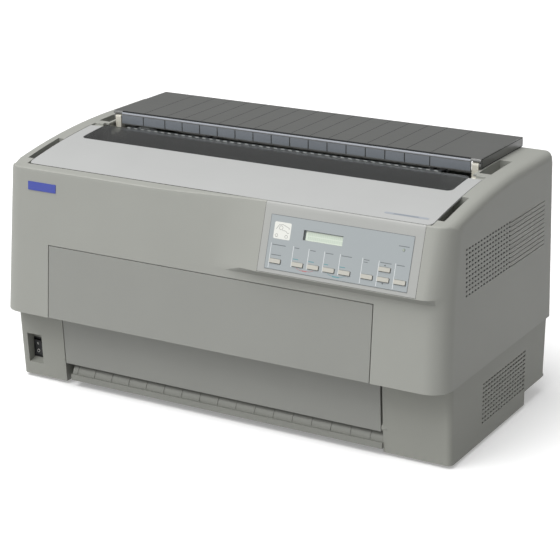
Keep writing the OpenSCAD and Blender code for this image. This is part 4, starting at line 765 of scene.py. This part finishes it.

# %% Bars, strips and painted shade in the vents
for side, name in ((1, "right"), (-1, "left")):
    wall, case, base = side_wall(side), body_of["upper_case"], body_of["lower_case"]
    rise = (-side * math.sin(LEAN) * ROW, 0, math.cos(LEAN) * ROW)
    bars = blocks(((-1.42, -115.55, 114.42), (-0.04, -111.25, 117.18)), radius=0, lean=wall)
    copies(f"upper_louvre_bars_{name}", bars, 15, (0, SLOT, 0), 11, rise, case)
    strips = blocks(((-1.42, 22.4, 115.5), (-0.04, 141.9, 117.18)), radius=0, lean=wall)
    copies(f"upper_louvre_strips_{name}", strips, 1, (0, 0, 0), 11, rise, case)
    # Painted shade: dark blocks in the openings, where the walls of the holes lie in shade.
    mesh = blocks(((-1.2, -120.4, 114.55), (-0.75, -115.6, 117.05)), radius=0, lean=wall)
    copies(f"upper_louvre_painted_shade_{name}", mesh, 16, (0, SLOT, 0), 11, rise, case, "belt_rubber", vent_shade)
    low, high = sorted((side * 347.2, side * 349.3))
    bars = blocks(((low, -49.55, 30.35), (high, -45.25, 33.05)), radius=0)
    copies(f"lower_louvre_bars_{name}", bars, 15, (0, SLOT, 0), 10, (0, 0, ROW), base, "base_plastic")
    # Painted shade in the openings of the lower case's vents.
    low, high = sorted((side * 348.0, side * 348.5))
    mesh = blocks(((low, -54.4, 30.5), (high, -49.6, 32.9)), radius=0)
    copies(f"lower_louvre_painted_shade_{name}", mesh, 16, (0, SLOT, 0), 10, (0, 0, ROW), base, "belt_rubber", vent_shade)
    print(name, "side: vents of", 16 * 11, "and", 16 * 10, "openings")

# %% [markdown]
# ## The control panel's lines
# Everything printed on the film is a thin layer of ink: a dark frame, white rules beside the key columns,
# and short bars where the real one has words. Each layer is a plate 0.05 mm thick. Each key casts a
# shadow below it and on its right, and that shadow is painted on the film as a dark line.

# %% Ink on the console
CONSOLE = face_at(-188.641, 242, 17.5)
LEFT, RIGHT, LOW, TOP = 89.5, 298.5, 6.5, 78.5  # the film's edges, in millimetres along and up the console
KEYS = [104.2, 137.7, 160.9, 184.0, 207.0, 239.4, 262.9, 286.4]
KEY_UP, KEY_W, KEY_H, KEY_RISE = 17.9, 16.5, 5.6, 13.0
board = body_of["panel_label"]


def printed(name, code, outlines, low=0.405, high=0.45, roughness=0.5, lay=CONSOLE, body=board,
            slot="label_film", kind="screen_ink"):
    """A layer of ink, film or painted shadow on a face, nearly flat and a little matt."""
    ink = moulded(kind + "_" + name, code, roughness, grain=0.9, depth=0.003, mottle=0.03)
    return finished(name, plates(outlines, low, high, lay), body, slot, ink)


THIN = 0.45
printed("label_frame", "#5c6163", [bar(LEFT, LOW, RIGHT, LOW + THIN), bar(LEFT, TOP - THIN, RIGHT, TOP),
                                   bar(LEFT, LOW, LEFT + THIN, TOP), bar(RIGHT - THIN, LOW, RIGHT, TOP)])
printed("label_rules", "#d9dcdd", [bar(x - 9.3, 13.5 if 110 < x < 220 else 8.0, x - 8.6, 41) for x in KEYS])
words = [bar(96.8, 38.6, 117, 39.7), bar(97.2, 25.4, 112, 26.4)]
words += [bar(x - 7.2, 38.6, x - 7.2 + long, 39.6) for x, long in zip(KEYS[1:], (7, 8, 11, 15, 8, 16, 11))]
words += [bar(KEYS[5] - 7.2, 35.6, KEYS[5] - 1.2, 36.5), bar(278, 63.2, 293, 64.2)]
printed("label_words", "#6d7274", words)
teal_words = [bar(x - 7.5, 24.0, x - 7.5 + long, 25.0) for x, long in zip(KEYS[1:5], (8, 8, 6, 8))]
printed("label_words_teal", "#5d9198", teal_words)
print(len(words) + len(teal_words), "bars of lettering")

# %% Brackets, arrows and painted key shadows
for name, code, first, (near, far, gap, foot, top) in (
        ("label_bracket_red", "#b0696c", 1, (4.5, 8, 8.2, 10.3, 11.6)),
        ("label_bracket_teal", "#5d9198", 3, (3.5, 6, 6.4, 9.9, 11.4))):
    a, b = KEYS[first], KEYS[first + 1]
    bracket = stroke([(a - 1, 13.4), (a + near, 11.2), (a + far, 11.2)], THIN)
    bracket += stroke([(b + 1, 13.4), (b - near, 11.2), (b - far, 11.2)], THIN)
    printed(name, code, bracket + [bar(a + gap, foot, b - gap, top)])
arrow = KEYS[6]
printed("label_arrows", "#54595b", [[(arrow - 1.6, 35.2), (arrow + 1.6, 35.2), (arrow, 37.2)],
                                    [(arrow - 1.6, 13.4), (arrow, 11.4), (arrow + 1.6, 13.4)]])
places = [(x, KEY_UP) for x in KEYS] + [(KEYS[6], KEY_UP + KEY_RISE)]
# Painted shadows: a dark line on the right of each key and below it, where its shadow falls.
painted_shadows = []
for x, y in places:
    side, foot = x + KEY_W / 2 + 0.3, y - KEY_H / 2 - 0.3
    painted_shadows += [bar(side, foot - 0.55, side + 0.75, y + KEY_H / 2), bar(x - KEY_W / 2, foot - 0.55, side, foot)]
printed("key_painted_shadows", "#5a5e5e", painted_shadows)
print(len(places), "keys in their wells")

# %% [markdown]
# ## The sticker
# A small pale sticker shows how paper runs through the machine. Rollers are rings and paper is a line, each
# a stroke of 0.4 mm, so the sketch stays plain and needs no picture.

# %% Sticker with a plain sketch of a paper path
PEN = 0.4
printed("path_sticker", "#dedfd9", [pill(96.4, 47.2, 121.4, 69.6, 2.2)], 0.405, 0.5, kind="coated_paper")
sketch = []
for cx, cy, r in ((101.0, 51.5, 2.0), (115.5, 51.5, 2.0), (106.5, 62.0, 2.6)):
    sketch += stroke(circle(cx, cy, r, 16), PEN)
sketch += stroke([(99.5, 60), (103, 65.5), (109, 66.5), (118.5, 63), (118.5, 61)], PEN)
sketch += stroke([(109, 59), (114, 58.5), (117, 56), (119, 57)], PEN)
printed("path_sketch", "#6b6a68", sketch, 0.5, 0.55)
print("sketch:", len(sketch), "short lines")

# %% [markdown]
# ## Display and lamp
# The display is a pale green glass in its window, with two rows of dim cells. A dark strip lies along the
# left wall of its well and below its upper edge: partly the display's frame, partly painted shade of the
# well's walls. The lamp beside it is a small lens that stands proud of the film.

# %% Display glass, its cells and the lamp
x0, y0, x1, y1 = 140.6, 50.9, 198.4, 63.9
printed("display_glass", "#d3dccf", [bar(x0, y0, x1, y1)], -1.78, -1.55, 0.12, slot="board_laminate",
        kind="display")
# Partly the display's frame, partly painted shade along the left wall and the top of the well.
printed("display_frame_and_painted_shade", "#555b5b", [bar(x0, y0, 143.4, y1), bar(x0, 63.2, x1, y1)], -1.5, -1.3,
        slot="board_laminate", kind="display")
cell = plates([bar(146.3, 52.6, 148.5, 56.6)], -1.54, -1.5, CONSOLE)
row_above = CONSOLE.to_3x3() @ Vector((0, 5.2, 0))
copies("display_cells", cell, 19, (2.72, 0, 0), 2, tuple(row_above), board, "board_laminate",
       moulded("display_cell", "#c6d1c3", 0.14, depth=0.002, mottle=0.01))
finished("lamp_lens", plates([pill(283.9, 57.6, 287.1, 60.8, 1.6)], 0.42, 0.9, CONSOLE), board,
         "board_laminate", moulded("lamp_acrylic", "#a9b0a6", 0.15, depth=0.002))  # clear skin, unlit
print("display: 2 rows of 19 cells")

# %% [markdown]
# ## Plates and marks
# The badge's place on the front is a bare blue plate, and the model strip on the cover a bare pale one.
# The rocker has the two marks every power switch has, laid on its two leaning halves.

# %% Bare plates
FRONT = face_at(-178.641, 242, math.degrees(math.atan(0.0822)))
crown = math.degrees(math.atan2(338.106 - 333.112, 25))  # slope of the cover near its front edge
LID = face_at(-142.0, 334.79, 90 - crown)
lid = body_of["printer_cover"]
printed("badge_plate", "#3a48a0", [pill(-305, 56.7, -257, 69.0, 0.6)], 0.0, 0.7, 0.3, FRONT,
        body_of["upper_case"], "case_plastic", "enamelled_aluminium")
printed("model_strip", "#9ca1a8", [pill(243, -2.2, 306, 2.2, 2.1)], 0.0, 0.12, 0.35, LID, lid,
        "cover_plastic", "foil")
printed("model_strip_inset", "#878d95", [pill(256, -1.4, 292, 1.4, 1.3)], 0.12, 0.15, 0.35, LID, lid,
        "cover_plastic", "foil")
print("front leans back by", round(math.degrees(math.atan(0.0822)), 1), "degrees")

# %% Marks on the rocker
ROCKER_X = -328.5
for name, outlines, y, z, lean in (
        ("mark_on", [bar(ROCKER_X - 0.5, -2.2, ROCKER_X + 0.5, 2.2)], -140.2, 50.25, -math.atan2(3.6, 11.5)),
        ("mark_off", stroke(circle(ROCKER_X, 0, 2.1), 0.8), -139.3, 38.55, math.atan2(1.8, 11.9))):
    printed(name, "#e4e4e0", outlines, 0.0, 0.08, lay=face_at(y, z, math.degrees(lean)),
            body=body_of["power_rocker"], slot="black_plastic")
    print(name, "leans by", round(math.degrees(lean), 1), "degrees")

# %% [markdown]
# ## The eject cover's ribs
# Sixteen ribs stiffen the smoked cover. Seen through its skin each is a thin dark line over the roof and
# down the front, dark partly from the dye in the thicker plastic and partly as painted shade, while the
# wall between two ribs looks paler with painted light. Clear plastic that is deep enough to show this by
# itself would take very many light paths, so the lines lie on the skin. The rounded front edge gets a
# painted shade where it looks up and a painted highlight where it looks forward.

# %% Rib lines on the roof and front
cover = body_of["eject_cover"]
(_, EJECT_FRONT, _), (EJECT_SIDE, EJECT_BACK, ROOF) = box_mm("eject_cover")
PITCH, PATH, WIDER = 30.2, -11.0, 8
SPAN, SILL, LIP = 283.5, 353.6, 4  # half width of the front's cells, their lower edge, the rounding's radius
ribs = [PATH + (k - 7.5) * PITCH for k in range(16)]
ribs[0], ribs[-1] = ribs[0] - WIDER, ribs[-1] + WIDER
# Ribs and edges of the smoked cover look dark, partly from the dye in the thicker plastic and partly as
# painted shade where their walls bend light away.
edge_dye_and_shade = moulded("polycarbonate_edge_dye_and_shade", "#1d2123", 0.6, depth=0.003)  # dye seen along the wall is darkest
lines = [bar(x - 0.4, EJECT_FRONT + 4.5, x + 0.4, EJECT_BACK - 4.5) for x in ribs]
finished("eject_rib_lines", plates(lines, 0.0, 0.04, Matrix.Translation((0, 0, ROOF * MM))), cover,
         "smoked_clear", edge_dye_and_shade)
UPRIGHT = face_at(EJECT_FRONT, 0, 0)
lines = [bar(x - 0.6, 353.2, x + 0.6, ROOF - 5.2) for x in ribs]
finished("eject_front_lines", plates(lines, 0.0, 0.05, UPRIGHT), cover, "smoked_clear", edge_dye_and_shade)
print(len(ribs), "ribs, the outer ones", round(ribs[1] - ribs[0], 1), "mm from their neighbours")

# %% The rounded lip's painted shade and highlight, the painted light of the cells, and the side outlines
SIDEWAYS = Matrix(((0, 0, 1, 0), (1, 0, 0, 0), (0, 1, 0, 0), (0, 0, 0, 1)))
# Painted shade and painted highlight on the rounded front edge: dark where it looks up, bright where it looks
# forward.
lip_shade_paint = moulded("polycarbonate_lip_painted_shade", "#0d1012", 0.8, depth=0.0)
lip_highlight_paint = moulded("polycarbonate_lip_painted_highlight", "#a3a7ae", 0.4, depth=0.0)
for name, turns, coat in (("eject_lip_painted_shade", (145, 130, 115, 100), lip_shade_paint),
                          ("eject_lip_painted_highlight", (180, 168, 156, 146), lip_highlight_paint)):
    strip = [(EJECT_FRONT + LIP + r * math.cos(math.radians(a)), ROOF - LIP + r * math.sin(math.radians(a)))
             for r, turn in ((4.07, turns), (3.95, turns[::-1])) for a in turn]
    finished(name, plates([strip], -SPAN, SPAN, SIDEWAYS), cover, "smoked_clear", coat)
# Painted light: plates on the front make the wall between the ribs pale, as where light gets in.
cells = [bar(-SPAN, SILL, ribs[0] - 0.9, ROOF - 5.4), bar(ribs[-1] + 0.9, SILL, SPAN, ROOF - 5.4)]
cells += [bar(a + 0.9, SILL, b - 0.9, ROOF - 5.4) for a, b in zip(ribs, ribs[1:])]
finished("eject_front_cells_painted_light", plates(cells, 0.0, 0.04, UPRIGHT), cover, "smoked_clear",
         moulded("polycarbonate_wall_painted_light", "#7b8086", 0.25, depth=0.01, mottle=0.12))  # pale where light gets in
for side, name in ((1, "right"), (-1, "left")):
    low, high = sorted((side * EJECT_SIDE, side * (EJECT_SIDE + 0.06)))
    rim, foot = ROOF - 1.1, 357.6
    outline = blocks(((low, 37, rim - 1.1), (high, 174.5, rim)), ((low, 37, foot), (high, 174.5, foot + 0.8)),
                     ((low, 36, foot), (high, 37.2, rim)), ((low, 173.6, foot), (high, 174.6, rim)), radius=0)
    finished(f"eject_side_lines_{name}", outline, cover, "smoked_clear", edge_dye_and_shade)
print(len(cells), "cells along the front")

# %% [markdown]
# ## The comb
# Below the cover's lip lies a comb that parts the paper: pale slanting teeth, one every 12 mm, over a dark
# guide. A tooth is one block, sheared by a matrix so that it slants, and the tree lays the others.

# %% Teeth of the comb
SLANT = Matrix(((1, -0.7, 0, 0.019), (0, 1, 0, 0), (0, 0, 1, 0), (0, 0, 0, 1)))
tooth = blocks(((-272, 11.0, 346.4), (-266.4, 27.4, 349.4)), radius=0.3, lean=SLANT)
copies("exit_comb_teeth", tooth, 43, (12, 0, 0), body=body_of["exit_guide"], slot="key_plastic",
       material=moulded("pale_abs", "#8f9290", 0.4, settings=ABS))  # satin, like the case
print("43 teeth over", 42 * 12, "mm")

# %% [markdown]
# ## Seams
# Where two mouldings meet, the narrow gap between them lies in shade, so a dark strip in the joint paints
# that shade and the seam reads as a dark line. A gap alone would let pale plastic behind it shine through.

# %% Painted shade strips in the seams
# Painted shade of the gaps between mouldings, dull so that it takes no highlight.
seam_shade = moulded("painted_seam_shade", "#2f302e", 0.9, grain=0.6, depth=0.05, mottle=0.15)  # fibres swallow light
strips = [bar(x, 0.5, x + 0.34, 86) for x in (78.64, 311.02)]
finished("bezel_seam_shades", plates(strips, -1.2, -0.12, CONSOLE), body_of["console_bezel"], "case_plastic", seam_shade)
finished("lid_front_seam_shade", blocks(((-314, -157.7, 328.6), (314, -157.08, 331.9)), radius=0),
         body_of["upper_case"], "case_plastic", seam_shade)
print("felt in 3 seams")

# %% [markdown]
# ## Sockets and screws at the back
# The port plate carries a 36-contact parallel socket and a small serial one, as such machines have. Their
# contacts and the four screws in the back are rows of copies. A pan head is 6.8 mm wide, and a small
# pit in its middle stands for the driver's recess.

# %% Port plate, contacts, screws
REAR = Matrix(((-1, 0, 0, 0), (0, 0, 1, 167.3 * MM), (0, 1, 0, 0), (0, 0, 0, 1)))
for name, outlines, low, high, slot in (
        ("port_plate", [pill(-264, 41, -154, 77, 1)], -0.7, 0, "plated_steel"),
        ("port_shells", [pill(-224, 51, -166, 67, 2.5), pill(-259, 53, -233, 65, 3)], -0.1, 2.2,
         "plated_steel"),
        ("port_mouths", [pill(-221, 53.5, -169, 64.5, 2), pill(-257, 55, -235, 63, 2.5)], 2.1, 2.3,
         "black_plastic")):
    finished(name, plates(outlines, low, high, REAR), "root", slot)
copies("parallel_contacts", blocks(((-0.55, 169.5, -1.2), (0.55, 169.9, 1.2)), radius=0), 18, (2.16, 0, 0),
       2, (0, 0, 4.6), slot="pinion_brass", origin=(176.6, 0, 56.7))
copies("serial_pins", blocks(((-0.45, 169.5, -0.45), (0.45, 170.0, 0.45)), radius=0), 7, (2.4, 0, 0),
       2, (1.2, 0, 2.8), slot="pinion_brass", origin=(237.5, 0, 57.5))
pan_head = turned([(3.4, 0), (3.4, 0.8), (2.5, 1.5), (1.1, 1.5), (0.6, 0.7)])
pan_head.transform(Matrix.Rotation(math.pi, 4, "Z"))
copies("rear_screws", pan_head, 4, (214, 0, 0), slot="plated_steel", origin=(-321, 176.95, 124))
print("36 contacts, 14 pins, 4 screws")

# %% [markdown]
# ## Belt teeth, chips and capacitors
# A timing belt's teeth face its pulleys, one every 3 mm. On the board each chip gets a black case over the
# solid's block and two rows of twelve legs, and each capacitor a dark sleeve of shrunk PVC, smooth and
# glossy, with a rim round its top.

# %% Teeth, chips and sleeves
low, high = box_mm("drive_belt")
bend = (high[1] - low[1]) / 2
copies("belt_teeth", blocks(((0, 0, 0.6), (1.5, 0.35, 5.9)), radius=0),
       int((high[0] - low[0] - 2 * bend) / 3), (3, 0, 0), body=body_of["drive_belt"], slot="belt_rubber",
       origin=(low[0] + bend, low[1] + 1.38, low[2]))
electronics = body_of["main_board"]
copies("chip_cases", blocks(((-133.2, -69.2, 17.3), (-102.8, -48.8, 20.8)), radius=0.3), 6, (56, 0, 0),
       body=electronics, slot="black_plastic")
legs = blocks(((-132.3, -70.9, 17.0), (-131.7, -69.1, 18.5)), ((-132.3, -48.9, 17.0), (-131.7, -47.1, 18.5)),
              radius=0)
copies("chip_legs", legs, 6, (56, 0, 0), 12, (2.54, 0, 0), body=electronics, slot="plated_steel")
sleeve = turned([(9.25, 17.2), (9.25, 42.6), (8.8, 43.1), (6.5, 43.1), (6.2, 42.8)], "Z")
copies("capacitor_sleeves", sleeve, 4, (30, 0, 0), body=electronics, origin=(-123, 1, 0),
       material=moulded("shrink_pvc", "#23304a", 0.3, depth=0.004))
print("6 chips with", 6 * 12 * 2, "legs, 4 capacitors")
